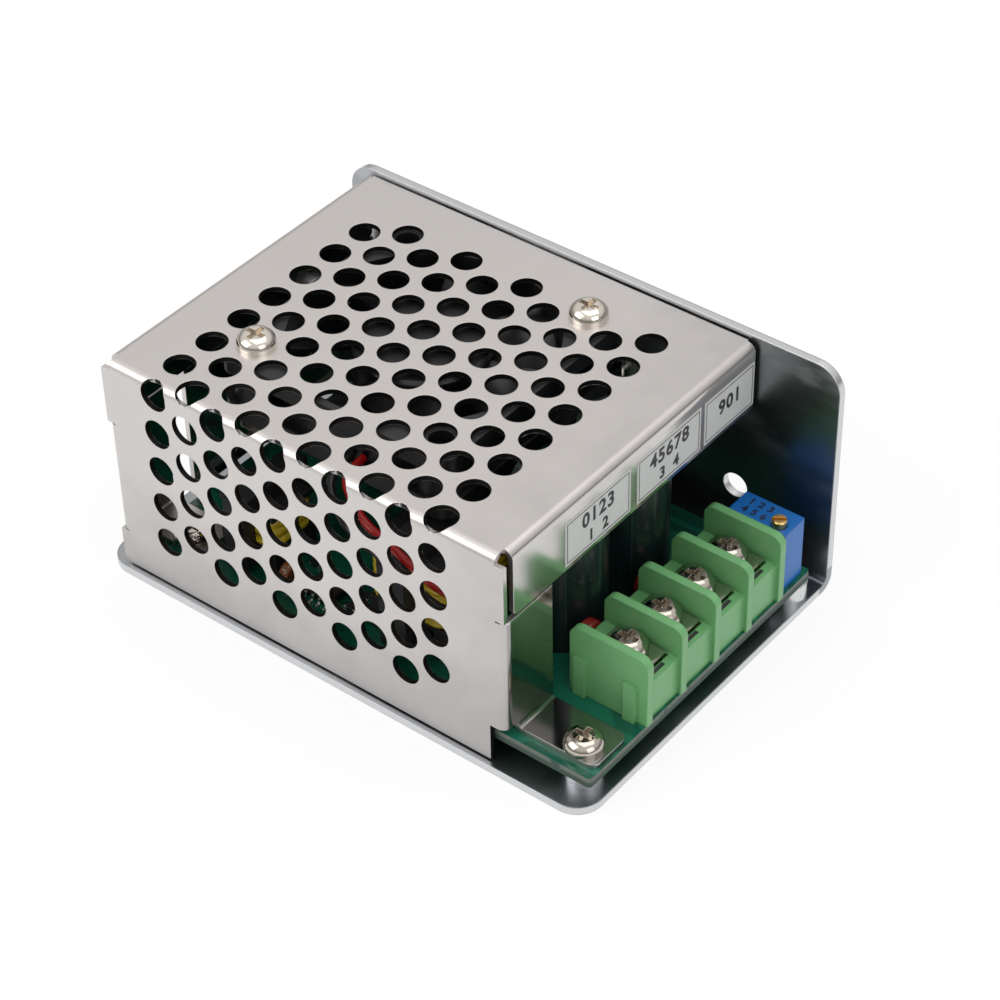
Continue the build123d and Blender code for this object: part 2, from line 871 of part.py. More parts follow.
# Clamp plates: each lies on its contact strip, its front tongue bent down into the ledge
with BuildPart() as terminal_clamps:
    for bay_y in bays_y:
        with BuildSketch(Plane.XZ.offset(clamp_width / 2 - bay_y)):
            with BuildLine():
                FilletPolyline(
                    (contact_left, clamp_bottom),
                    (clamp_front - clamp, clamp_bottom),
                    (clamp_front - clamp, clamp_top - tongue_drop),
                    (clamp_front, clamp_top - tongue_drop),
                    (clamp_front, clamp_top),
                    (contact_left, clamp_top),
                    radius=[0, 0, 0, 0, clamp / 2, 0],
                    close=True,
                )
            make_face()
        extrude(amount=-clamp_width)
    with BuildSketch(Plane.XY.offset(clamp_bottom)):
        with Locations(*[(clamp_front, y + side * clamp_width / 2) for y in bays_y for side in (-1, 1)]):
            Rectangle(3 * clamp, clamp_width - tongue_width)
    extrude(amount=-tongue_drop, mode=Mode.SUBTRACT)
    with BuildSketch(Plane.XY.offset(clamp_bottom)):
        with Locations(*[(terminal_screw_x, y) for y in bays_y]):
            Circle(terminal_screw_d / 2 + seat_gap)
    extrude(amount=clamp, mode=Mode.SUBTRACT)
save(terminal_clamps.part, "terminal_clamps")

terminal_screw = pan_screw(
    clamp_top, terminal_screw_length, terminal_head_d, terminal_head_height, terminal_screw_d
)
with BuildPart() as terminal_screws:
    with Locations(*[(terminal_screw_x, y) for y in bays_y]):
        add(terminal_screw)
save(terminal_screws.part, "terminal_screws")

# Trimmer: a block on low feet, with a slotted adjusting screw in a bore in its top
trimmer_screw_at = (
    trimmer_right - trimmer_screw_inset_x,
    trimmer_near + trimmer_screw_inset_y,
)
with BuildPart() as trimmer_body:
    with BuildSketch(Plane.XY.offset(board_top)):
        with Locations((trimmer_x, trimmer_y)):
            Rectangle(trimmer_length, trimmer_width)
    extrude(amount=trimmer_height)
    fillet(trimmer_body.edges().filter_by(Axis.Z), trimmer_edge)
    with BuildSketch(Plane.XY.offset(board_top)):
        with Locations((trimmer_x, trimmer_y)):
            Rectangle(trimmer_length - 2 * trimmer_foot_length, trimmer_width)
    extrude(amount=trimmer_foot, mode=Mode.SUBTRACT)
    with Locations((*trimmer_screw_at, trimmer_top)):
        Hole(trimmer_screw_d / 2 + trimmer_screw_clearance, depth=trimmer_screw_depth)
save(trimmer_body.part, "trimmer_body")

with BuildPart() as trimmer_screw:
    with BuildSketch(Plane.XY.offset(trimmer_top - trimmer_screw_depth + seat_gap)):
        with Locations(trimmer_screw_at):
            Circle(trimmer_screw_d / 2)
    extrude(amount=trimmer_screw_depth - seat_gap + trimmer_screw_head)
    chamfer(trimmer_screw.edges().group_by(Axis.Z)[-1], trimmer_screw_edge)
    with BuildSketch(Plane.XY.offset(trimmer_top + trimmer_screw_head)):
        with Locations(Location(trimmer_screw_at, trimmer_slot_angle)):
            Rectangle(2 * trimmer_screw_d, trimmer_slot)
    extrude(amount=-trimmer_slot, mode=Mode.SUBTRACT)
save(trimmer_screw.part, "trimmer_screw")

with BuildPart() as trimmer_pins:
    with BuildSketch(Plane.XY.offset(board_top + trimmer_foot)):
        with Locations(*trimmer_pins_at):
            Circle(trimmer_pin_d / 2)
    extrude(amount=pin_end - board_top - trimmer_foot)
save(trimmer_pins.part, "trimmer_pins")

# Fan frame: a square housing with a round duct, cut back to a waist between its two flanges,
# and a hub plate with a bearing tube carried on struts
bearing_floor = fan_bottom + fan_tube_floor
bearing_top = fan_bottom + fan_base + bearing_tube_height - fan_tube_floor
with BuildPart() as fan_frame:
    with BuildSketch(Plane.XY.offset(fan_bottom)):
        with Locations(fan_centre):
            RectangleRounded(fan_size, fan_size, fan_corner)
            Circle(fan_bore_d / 2, mode=Mode.SUBTRACT)
    extrude(amount=fan_thickness)
    with BuildSketch(Plane.XY.offset(fan_bottom + fan_flange)):
        with Locations(fan_centre):
            Rectangle(2 * fan_size, 2 * fan_size)
            Circle(fan_bore_d / 2 + fan_duct_wall, mode=Mode.SUBTRACT)
            with GridLocations(fan_hole_pitch, fan_hole_pitch, 2, 2):
                Circle(fan_boss_d / 2, mode=Mode.SUBTRACT)
    extrude(amount=fan_thickness - 2 * fan_flange, mode=Mode.SUBTRACT)
    with BuildSketch(Plane.XY.offset(fan_bottom)):
        with Locations(fan_centre):
            with PolarLocations(0, struts):
                Rectangle(
                    (fan_bore_d + fan_duct_wall) / 2,
                    strut_width,
                    align=(Align.MIN, Align.CENTER),
                )
    extrude(amount=strut_height)
    with BuildSketch(Plane.XY.offset(fan_bottom + fan_base)):
        with Locations(fan_centre):
            Circle(stator_d / 2 + loose_gap)
    extrude(amount=strut_height - fan_base, mode=Mode.SUBTRACT)
    with BuildSketch(Plane.XY.offset(fan_bottom)):
        with Locations(fan_centre):
            Circle(hub_d / 2)
    extrude(amount=fan_base)
    with BuildSketch(Plane.XY.offset(bearing_floor)):
        with Locations(fan_centre):
            Circle(bearing_tube_d / 2)
    extrude(amount=bearing_top - bearing_floor)
    with BuildSketch(Plane.XY.offset(bearing_floor)):
        with Locations(fan_centre):
            Circle(bearing_d / 2 + seat_gap)
    extrude(amount=bearing_top - bearing_floor, mode=Mode.SUBTRACT)
    with BuildSketch(Plane.XY.offset(fan_bottom)):
        with Locations(fan_centre):
            with GridLocations(fan_hole_pitch, fan_hole_pitch, 2, 2):
                Circle(fan_hole_d / 2)
    extrude(amount=fan_thickness, mode=Mode.SUBTRACT)
save(fan_frame.part, "fan_frame")

with BuildPart() as fan_bearing:
    with BuildSketch(Plane.XY.offset(bearing_floor)):
        with Locations(fan_centre):
            Circle(bearing_d / 2)
            Circle(shaft_d / 2 + shaft_clearance, mode=Mode.SUBTRACT)
    extrude(amount=bearing_top - bearing_floor)
save(fan_bearing.part, "fan_bearing")

with BuildPart() as fan_stator:
    with BuildSketch(Plane.XY.offset(fan_bottom + fan_base)):
        with Locations(fan_centre):
            Circle(stator_d / 2)
            with PolarLocations((stator_d - stator_slot_depth) / 2, stator_poles):
                Rectangle(stator_slot_depth + loose_gap, stator_slot, mode=Mode.SUBTRACT)
            Circle(bearing_tube_d / 2 + seat_gap, mode=Mode.SUBTRACT)
    extrude(amount=stator_height)
save(fan_stator.part, "fan_stator")

# Fan blade: a curved plate that flattens from the hub to the tip, trimmed to the duct
rotor_rim = fan_bottom + strut_height + loose_gap
hub_top = fan_top - hub_gap
hub_roof = hub_top - hub_wall
blade_low = fan_bottom + strut_height + blade_tip_gap
blade_half = (hub_top - blade_tip_gap - blade_low) / 2
blade_rise = blade_half - blade_thickness / 2
tip_r = fan_bore_d / 2 - blade_tip_gap
with BuildPart() as blade:
    for radius, angle in (
        ((hub_d - hub_wall) / 2, blade_root_angle),
        (tip_r, blade_tip_angle),
    ):
        reach = blade_half / tan(radians(angle))
        section = Plane(
            origin=(radius, 0, blade_low + blade_half), x_dir=(0, 1, 0), z_dir=(1, 0, 0)
        )
        with BuildSketch(section):
            with BuildLine():
                lower = ThreePointArc(
                    (-reach, -blade_rise - blade_thickness / 2),
                    (0, blade_camber - blade_thickness / 2),
                    (reach, blade_rise - blade_thickness / 2),
                )
                upper = ThreePointArc(
                    (-reach, -blade_rise + blade_thickness / 2),
                    (0, blade_camber + blade_thickness / 2),
                    (reach, blade_rise + blade_thickness / 2),
                )
                Line(lower @ 0, upper @ 0)
                Line(lower @ 1, upper @ 1)
            make_face()
    loft()
    with BuildSketch(Plane.XY.offset(fan_bottom)):
        Circle(tip_r)
    extrude(amount=fan_thickness, mode=Mode.INTERSECT)

# Rotor: a cup over the stator, with a boss for the shaft and the blades round it
with BuildPart() as fan_rotor:
    with BuildSketch(Plane.XY.offset(rotor_rim)):
        Circle(hub_d / 2)
    extrude(amount=hub_top - rotor_rim)
    chamfer(fan_rotor.edges().group_by(Axis.Z)[-1], hub_edge)
    with BuildSketch(Plane.XY.offset(rotor_rim)):
        Circle(hub_d / 2 - hub_wall)
    extrude(amount=hub_roof - rotor_rim, mode=Mode.SUBTRACT)
    with BuildSketch(Plane.XY.offset(bearing_top + loose_gap)):
        Circle(bearing_tube_d / 2)
    extrude(amount=hub_roof - bearing_top - loose_gap)
    with BuildSketch(Plane.XY.offset(bearing_top)):
        Circle(shaft_d / 2 + seat_gap)
    extrude(amount=hub_roof - bearing_top, mode=Mode.SUBTRACT)
    with PolarLocations(0, blades):
        add(blade.part)
save(Location((*fan_centre, 0)) * fan_rotor.part, "fan_rotor")

with BuildPart() as fan_magnet:
    with BuildSketch(Plane.XY.offset(rotor_rim + loose_gap)):
        with Locations(fan_centre):
            Circle(hub_d / 2 - hub_wall - seat_gap)
            Circle(hub_d / 2 - hub_wall - magnet_wall, mode=Mode.SUBTRACT)
    extrude(amount=hub_roof - rotor_rim - loose_gap)
save(fan_magnet.part, "fan_magnet")

with BuildPart() as fan_shaft:
    with BuildSketch(Plane.XY.offset(bearing_floor + loose_gap)):
        with Locations(fan_centre):
            Circle(shaft_d / 2)
    extrude(amount=hub_roof - bearing_floor - loose_gap)
save(fan_shaft.part, "fan_shaft")


def e_core(x, y, low, span, height, thickness, outer_leg, middle_leg, yoke, name):
    """Makes one E core with its legs up, or down where its height is negative."""
    turn = 1 if height > 0 else -1
    window = (span - middle_leg) / 2 - outer_leg
    window_y = (middle_leg + window) / 2
    with BuildPart() as core:
        with BuildSketch(Plane.YZ.offset(x - thickness / 2)):
            with Locations((y, low + height / 2)):
                Rectangle(span, abs(height))
            with Locations(*[(y + side * window_y, low + turn * yoke) for side in (-1, 1)]):
                Rectangle(
                    window,
                    abs(height),
                    align=(Align.CENTER, Align.MIN if turn > 0 else Align.MAX),
                    mode=Mode.SUBTRACT,
                )
        extrude(amount=thickness)
    save(core.part, name)


def wound_inductor(
    x, y, lift, span, height, thickness, outer_leg, middle_leg, yoke, width, pins, name
):
    """Makes an inductor: two E cores, a bobbin with two pin rails, its winding and its pins."""
    low = board_top + lift
    high = low + height
    half = height / 2 - seat_gap
    e_core(x, y, low, span, half, thickness, outer_leg, middle_leg, yoke, f"{name}_core_lower")
    e_core(x, y, high, span, -half, thickness, outer_leg, middle_leg, yoke, f"{name}_core_upper")
    coil_low = low + yoke + seat_gap
    coil_high = high - yoke - seat_gap
    depth = span - 2 * outer_leg - 2 * loose_gap
    rail_height = coil_low - board_top
    with BuildPart() as bobbin:
        for flange_low in (coil_low, coil_high - bobbin_wall):
            with BuildSketch(Plane.XY.offset(flange_low)):
                with Locations((x, y)):
                    Rectangle(width, depth)
            extrude(amount=bobbin_wall)
        with BuildSketch(Plane.XY.offset(coil_low)):
            with Locations((x, y)):
                Rectangle(
                    thickness + 2 * seat_gap + 2 * bobbin_wall,
                    middle_leg + 2 * seat_gap + 2 * bobbin_wall,
                )
        extrude(amount=coil_high - coil_low)
        with BuildSketch(Plane.XY.offset(board_top)):
            with Locations((x, y)):
                with GridLocations(width - bobbin_rail, 0, 2, 1):
                    Rectangle(bobbin_rail, depth)
        extrude(amount=rail_height)
        with BuildSketch(Plane.XY.offset(coil_low)):
            with Locations((x, y)):
                Rectangle(thickness + 2 * seat_gap, middle_leg + 2 * seat_gap)
        extrude(amount=coil_high - coil_low, mode=Mode.SUBTRACT)
        with BuildSketch(Plane.XY.offset(board_top)):
            with Locations(*pins):
                Circle(coil_pin_d / 2 + seat_gap)
        extrude(amount=coil_pin_depth, mode=Mode.SUBTRACT)
    save(bobbin.part, f"{name}_bobbin")
    with BuildPart() as winding:
        with BuildSketch(Plane.XY.offset(coil_low + bobbin_wall + seat_gap)):
            with Locations((x, y)):
                RectangleRounded(
                    width - 2 * winding_lip, depth - 2 * winding_lip, winding_corner
                )
                Rectangle(
                    thickness + 4 * seat_gap + 2 * bobbin_wall,
                    middle_leg + 4 * seat_gap + 2 * bobbin_wall,
                    mode=Mode.SUBTRACT,
                )
        extrude(amount=coil_high - coil_low - 2 * bobbin_wall - 2 * seat_gap)
    save(winding.part, f"{name}_winding")
    with BuildPart() as rail_pin_group:
        with BuildSketch(Plane.XY.offset(board_top + coil_pin_depth)):
            with Locations(*pins):
                Circle(coil_pin_d / 2)
        extrude(amount=pin_end - board_top - coil_pin_depth)
    save(rail_pin_group.part, f"{name}_pins")


wound_inductor(
    main_coil_x,
    main_coil_y,
    main_coil_lift,
    main_core_span,
    main_core_height,
    main_core_thickness,
    main_outer_leg,
    main_middle_leg,
    main_yoke,
    main_coil_width,
    main_pins,
    "main_inductor",
)
wound_inductor(
    filter_coil_x,
    filter_coil_y,
    filter_coil_lift,
    filter_core_span,
    filter_core_height,
    filter_core_thickness,
    filter_outer_leg,
    filter_middle_leg,
    filter_yoke,
    filter_coil_width,
    filter_pins,
    "filter_inductor",
)

# Electrolytic capacitors: a can with a grooved neck, its two leads, and a shrunk sleeve
for number, (x, y, can_d, can_height) in enumerate(capacitors, start=1):
    can_r = can_d / 2
    can_top = board_top + can_height
    leads_at = [(x, y + side * can_lead_pitch / 2) for side in (-1, 1)]
    with BuildPart() as can:
        with BuildSketch(Plane.XZ.offset(-y)):
            with BuildLine():
                FilletPolyline(
                    (x, board_top),
                    (x + can_r, board_top),
                    (x + can_r, board_top + can_neck),
                    (x + can_r - can_groove, board_top + can_neck + can_groove),
                    (x + can_r, board_top + can_neck + 2 * can_groove),
                    (x + can_r, can_top),
                    (x, can_top),
                    radius=[0, 0, 0, 0, 0, can_corner, 0],
                    close=True,
                )
            make_face()
        revolve(axis=Axis((x, y, 0), (0, 0, 1)))
        with BuildSketch(Plane.XY.offset(board_top)):
            with Locations(*leads_at):
                Circle(can_lead_d / 2)
        extrude(amount=can_lead_depth, mode=Mode.SUBTRACT)
    save(can.part, f"capacitor_{number}_can")
    with BuildPart() as leads:
        with BuildSketch(Plane.XY.offset(board_top + can_lead_depth)):
            with Locations(*leads_at):
                Circle(can_lead_d / 2)
        extrude(amount=pin_end - board_top - can_lead_depth)
    save(leads.part, f"capacitor_{number}_leads")
    inner_r = can_r + seat_gap
    with BuildPart() as sleeve:
        with BuildSketch(Plane.XZ.offset(-y)):
            with BuildLine():
                Polyline(
                    (x + inner_r, board_top + seat_gap),
                    (x + inner_r + sleeve_wall, board_top + seat_gap),
                    (x + inner_r + sleeve_wall, can_top + seat_gap + sleeve_wall),
                    (x + inner_r - sleeve_lip, can_top + seat_gap + sleeve_wall),
                    (x + inner_r - sleeve_lip, can_top + seat_gap),
                    (x + inner_r, can_top + seat_gap),
                    close=True,
                )
            make_face()
        revolve(axis=Axis((x, y, 0), (0, 0, 1)))
    save(sleeve.part, f"capacitor_{number}_sleeve")

# Dipped capacitors: flat rounded bodies that stand on two wires
with BuildPart() as dipped_leads:
    with BuildSketch(Plane.XY.offset(board_top + dipped_lift + dipped_lead_depth)):
        with Locations(*dipped_leads_at):
            Circle(dipped_lead_d / 2)
    extrude(amount=pin_end - board_top - dipped_lift - dipped_lead_depth)
save(dipped_leads.part, "dipped_capacitor_leads")
for number, (x, y, width, height, thickness) in enumerate(dipped, start=1):
    with BuildPart() as dipped_body:
        with BuildSketch(Plane.YZ.offset(x - thickness / 2)):
            with Locations((y, board_top + dipped_lift + height / 2)):
                Ellipse(width / 2, height / 2)
        extrude(amount=thickness)
        fillet(dipped_body.faces().filter_by(Axis.X).edges(), dipped_edge)
        add(dipped_leads.part, mode=Mode.SUBTRACT)
    save(dipped_body.part, f"dipped_capacitor_{number}")

# Control chip: a moulded body and its bent pins, which stand on the board
chip_pins_x = [
    chip_x + (pin - (chip_pins - 1) / 2) * chip_pin_pitch for pin in range(chip_pins)
]
with BuildPart() as control_chip:
    with BuildSketch(Plane.XY.offset(board_top + chip_lift)):
        with Locations((chip_x, chip_y)):
            Rectangle(chip_length, chip_width)
    extrude(amount=chip_height)
    chamfer(control_chip.edges().group_by(Axis.Z)[-1], chip_edge)
save(control_chip.part, "control_chip")

with BuildPart() as control_chip_pins:
    for pin_x in chip_pins_x:
        for side in (-1, 1):
            body_y = chip_y + side * chip_width / 2
            shoulder_y = body_y + side * chip_pin_shoulder
            foot_y = body_y + side * chip_pin_reach
            upper_z = board_top + chip_pin_height
            with BuildSketch(Plane.YZ.offset(pin_x - chip_pin_width / 2)):
                with BuildLine():
                    Polyline(
                        (body_y, upper_z),
                        (shoulder_y, upper_z),
                        (shoulder_y + side * chip_pin, board_top + chip_pin),
                        (foot_y, board_top + chip_pin),
                        (foot_y, board_top),
                        (shoulder_y, board_top),
                        (shoulder_y - side * chip_pin, upper_z - chip_pin),
                        (body_y, upper_z - chip_pin),
                        close=True,
                    )
                make_face()
            extrude(amount=chip_pin_width)
save(control_chip_pins.part, "control_chip_pins")

# Power devices: a tab held flat to the back wall over a pad, formed leads, a moulded case
for number, x in enumerate(devices_x, start=1):
    with BuildPart() as device_leads:
        for side in (-1, 0, 1):
            lead_x = x + side * device_lead_pitch - device_lead_width / 2
            with BuildSketch(Plane.YZ.offset(lead_x)):
                with BuildLine():
                    bend_z = device_foot - device_lead_straight
                    step_y = device_lead_face - device_lead_y
                    front = Polyline(
                        (device_lead_face, device_foot + device_lead_root),
                        (device_lead_face, bend_z),
                        (device_lead_y, bend_z - step_y),
                        (device_lead_y, pin_end),
                    )
                    back = Polyline(
                        (device_lead_face + device_lead, device_foot + device_lead_root),
                        (device_lead_face + device_lead, bend_z),
                        (device_lead_y + device_lead, bend_z - step_y),
                        (device_lead_y + device_lead, pin_end),
                    )
                    Line(front @ 0, back @ 0)
                    Line(front @ 1, back @ 1)
                make_face()
            extrude(amount=device_lead_width)
    with BuildPart() as device_case:
        with BuildSketch(Plane.XZ.offset(device_tab - device_back)):
            with Locations((x, device_foot)):
                Rectangle(device_width, device_case_height, align=(Align.CENTER, Align.MIN))
        extrude(amount=device_thickness - device_tab)
        chamfer(device_case.faces().sort_by(Axis.Y)[0].edges(), device_edge)
        add(device_leads.part, mode=Mode.SUBTRACT)
    save(device_case.part, f"power_device_{number}_case")
    with BuildPart() as device_frame:
        with BuildSketch(Plane.XZ.offset(-device_back)):
            with Locations((x, device_foot)):
                Rectangle(device_width, device_height, align=(Align.CENTER, Align.MIN))
            with Locations((x, device_hole_z)):
                Circle(device_hole_d / 2, mode=Mode.SUBTRACT)
        extrude(amount=device_tab)
        add(device_leads.part)
    save(device_frame.part, f"power_device_{number}_leadframe")

with BuildPart() as insulating_pads:
    with BuildSketch(Plane.XZ.offset(-wall_face)):
        with Locations(*[(x, device_foot + device_height / 2) for x in devices_x]):
            Rectangle(device_width + 2 * pad_margin, device_height + 2 * pad_margin)
        with Locations(*[(x, device_hole_z) for x in devices_x]):
            Circle(device_hole_d / 2, mode=Mode.SUBTRACT)
    extrude(amount=pad)
save(insulating_pads.part, "insulating_pads")

device_screw = pan_screw(
    0, device_tab + pad + plate, screw_head_d, screw_head_height, screw_shank_d
)
with BuildPart() as device_screws:
    with Locations(
        *[Location((x, device_back - device_tab, device_hole_z), (90, 0, 0)) for x in devices_x]
    ):
        add(device_screw)
save(device_screws.part, "device_screws")

# Fan socket on the board, its two pins, and the plug that stands in it
socket_inside = (socket_length - 2 * socket_wall, socket_width - 2 * socket_wall)
with BuildPart() as fan_socket:
    with BuildSketch(Plane.XY.offset(board_top)):
        with Locations((socket_x, socket_y)):
            Rectangle(socket_length, socket_width)
    extrude(amount=socket_height)
    with BuildSketch(Plane.XY.offset(board_top + socket_floor)):
        with Locations((socket_x, socket_y)):
            Rectangle(*socket_inside)
    extrude(amount=socket_height - socket_floor, mode=Mode.SUBTRACT)
    with BuildSketch(Plane.XY.offset(board_top)):
        with Locations(*socket_pins_at):
            Circle(socket_pin_d / 2 + seat_gap)
    extrude(amount=socket_floor, mode=Mode.SUBTRACT)
save(fan_socket.part, "fan_socket")

with BuildPart() as fan_socket_pins:
    with BuildSketch(Plane.XY.offset(pin_end)):
        with Locations(*socket_pins_at):
            Circle(socket_pin_d / 2)
    extrude(amount=board_top + socket_floor + socket_pin_top - pin_end)
save(fan_socket_pins.part, "fan_socket_pins")

with BuildPart() as fan_plug:
    with BuildSketch(Plane.XY.offset(board_top + socket_floor)):
        with Locations((socket_x, socket_y)):
            Rectangle(socket_inside[0] - 2 * seat_gap, socket_inside[1] - 2 * seat_gap)
    extrude(amount=plug_height)
    with BuildSketch(Plane.XY.offset(board_top + socket_floor)):
        with Locations(*socket_pins_at):
            Circle(socket_pin_d / 2 + seat_gap)
    extrude(amount=socket_pin_top + seat_gap, mode=Mode.SUBTRACT)
save(fan_plug.part, "fan_plug")

# Fan leads: out between the fan's flanges, along the near side and down into the plug
fan_leads = [
    ("fan_lead_red", red_start, red_run, red_drop, socket_pins_at[0]),
    ("fan_lead_black", black_start, black_run, black_drop, socket_pins_at[1]),
]
for name, start, run, drop, pin_at in fan_leads:
    points = [(fan_centre_x + x, fan_near + y, fan_bottom + z) for x, y, z in start]
    points += [(fan_centre_x + x, cover_near + y, fan_bottom + z) for x, y, z in run]
    points += [(*pin_at, plug_top + drop), (*pin_at, plug_top)]
    corners = [Vector(*point) for point in points]
    radii = []
    for before, corner, after in zip(corners, corners[1:], corners[2:]):
        turn = (corner - before).get_angle(after - corner)
        shorter = min((corner - before).length, (after - corner).length)
        radii.append(arc_share * shorter / tan(radians(turn / 2)))
    with BuildPart() as lead:
        with BuildLine():
            route = FilletPolyline(*points, radius=radii)
        with BuildSketch(Plane(origin=route @ 0, z_dir=route % 0)):
            Circle(lead_d / 2)
        sweep()
    swept = pi * lead_d**2 / 4 * route.length
    print(name, "radii", [round(radius, 1) for radius in radii], "mm")
    print(name, "volume over section times length", round(lead.part.volume / swept, 4))
    save(lead.part, name)
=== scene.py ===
import logging
import math
from dataclasses import dataclass, field
from enum import Enum
from typing import Any, Sequence, Union

import bmesh
import bpy
from mathutils import Matrix, Vector


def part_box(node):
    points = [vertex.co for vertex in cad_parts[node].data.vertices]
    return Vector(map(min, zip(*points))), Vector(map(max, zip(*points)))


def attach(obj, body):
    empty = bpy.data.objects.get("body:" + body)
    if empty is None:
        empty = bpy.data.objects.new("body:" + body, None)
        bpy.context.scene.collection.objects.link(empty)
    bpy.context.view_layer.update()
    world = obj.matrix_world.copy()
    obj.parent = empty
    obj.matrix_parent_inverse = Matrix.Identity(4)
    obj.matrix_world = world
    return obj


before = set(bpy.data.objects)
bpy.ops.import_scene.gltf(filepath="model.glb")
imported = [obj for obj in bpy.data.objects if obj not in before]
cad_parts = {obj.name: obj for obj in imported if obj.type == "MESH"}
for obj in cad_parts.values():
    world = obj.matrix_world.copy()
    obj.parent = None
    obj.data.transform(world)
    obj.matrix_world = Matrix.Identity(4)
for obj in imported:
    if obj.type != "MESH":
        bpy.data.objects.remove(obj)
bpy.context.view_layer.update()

MM = 0.001
WELD = 0.0001 * MM
ROOT = "root"
BEVEL_SAMPLES = 6
ARC_STEPS = 8
WIRE_SIDES = 10
CONE_SIDES = 20
DIGIT_SPACING = 1.12
DIGIT_STEPS = 4
Color = tuple[float, float, float, float]
Point = tuple[float, float, float]
Span = tuple[float, float]

log = logging.getLogger("converter")


def rgb(red: float, green: float, blue: float) -> Color:
    """Gives an opaque colour from linear red, green and blue."""
    return (red, green, blue, 1.0)


def scaled(color: Color, factor: float) -> Color:
    """Gives a colour with its light multiplied by a factor."""
    red, green, blue = color[:3]
    return rgb(red * factor, green * factor, blue * factor)


class Signal:
    """A shader value that adds Math nodes to its material when it is used in an expression."""

    def __init__(self, shader: "Shader", socket: bpy.types.NodeSocket) -> None:
        """Wraps one output socket.

        Args:
            shader: The material that the socket belongs to.
            socket: The output socket.
        """
        self.shader = shader
        self.socket = socket

    def _math(self, operation: str, first: "Value", second: "Value") -> "Signal":
        """Adds one Math node on two values."""
        return self.shader.node("ShaderNodeMath", {"operation": operation}, {0: first, 1: second})

    def __add__(self, other: "Value") -> "Signal":
        """Adds a value."""
        return self._math("ADD", self, other)

    def __radd__(self, other: "Value") -> "Signal":
        """Adds this to a value."""
        return self._math("ADD", other, self)

    def __sub__(self, other: "Value") -> "Signal":
        """Takes a value away."""
        return self._math("SUBTRACT", self, other)

    def __rsub__(self, other: "Value") -> "Signal":
        """Takes this away from a value."""
        return self._math("SUBTRACT", other, self)

    def __mul__(self, other: "Value") -> "Signal":
        """Multiplies by a value."""
        return self._math("MULTIPLY", self, other)

    def __rmul__(self, other: "Value") -> "Signal":
        """Multiplies a value by this."""
        return self._math("MULTIPLY", other, self)

    def __truediv__(self, other: "Value") -> "Signal":
        """Divides by a value."""
        return self._math("DIVIDE", self, other)

    def __abs__(self) -> "Signal":
        """Drops the sign."""
        return self._math("ABSOLUTE", self, 0.0)

    def above(self, level: "Value") -> "Signal":
        """Gives 1 where this is over a level, and 0 elsewhere."""
        return self._math("GREATER_THAN", self, level)

    def below(self, level: "Value") -> "Signal":
        """Gives 1 where this is under a level, and 0 elsewhere."""
        return self._math("LESS_THAN", self, level)

    def swing(self, size: float) -> "Signal":
        """Turns values from 0 to 1 into a swing of a given size about 0."""
        return (self - 0.5) * size

    def repeat(self, period: float) -> "Signal":
        """Gives how far this is past the last multiple of a period."""
        return self._math("FLOORED_MODULO", self, period)

    def larger(self, other: "Value") -> "Signal":
        """Gives the larger of this and a value."""
        return self._math("MAXIMUM", self, other)

    def ramp(self, low: float, high: float) -> "Signal":
        """Rises smoothly from 0 at low to 1 at high.

        Args:
            low: The value that gives 0.
            high: The value that gives 1.

        Returns:
            The smoothed value.
        """
        return self.shader.node(
            "ShaderNodeMapRange",
            {"interpolation_type": "SMOOTHSTEP"},
            {"Value": self, "From Min": low, "From Max": high},
        )

    def part(self, letter: str) -> "Signal":
        """Gives the X, Y or Z part of a vector."""
        return self.shader.node("ShaderNodeSeparateXYZ", None, {"Vector": self}, letter)


Value = Union[Signal, float, int, tuple]


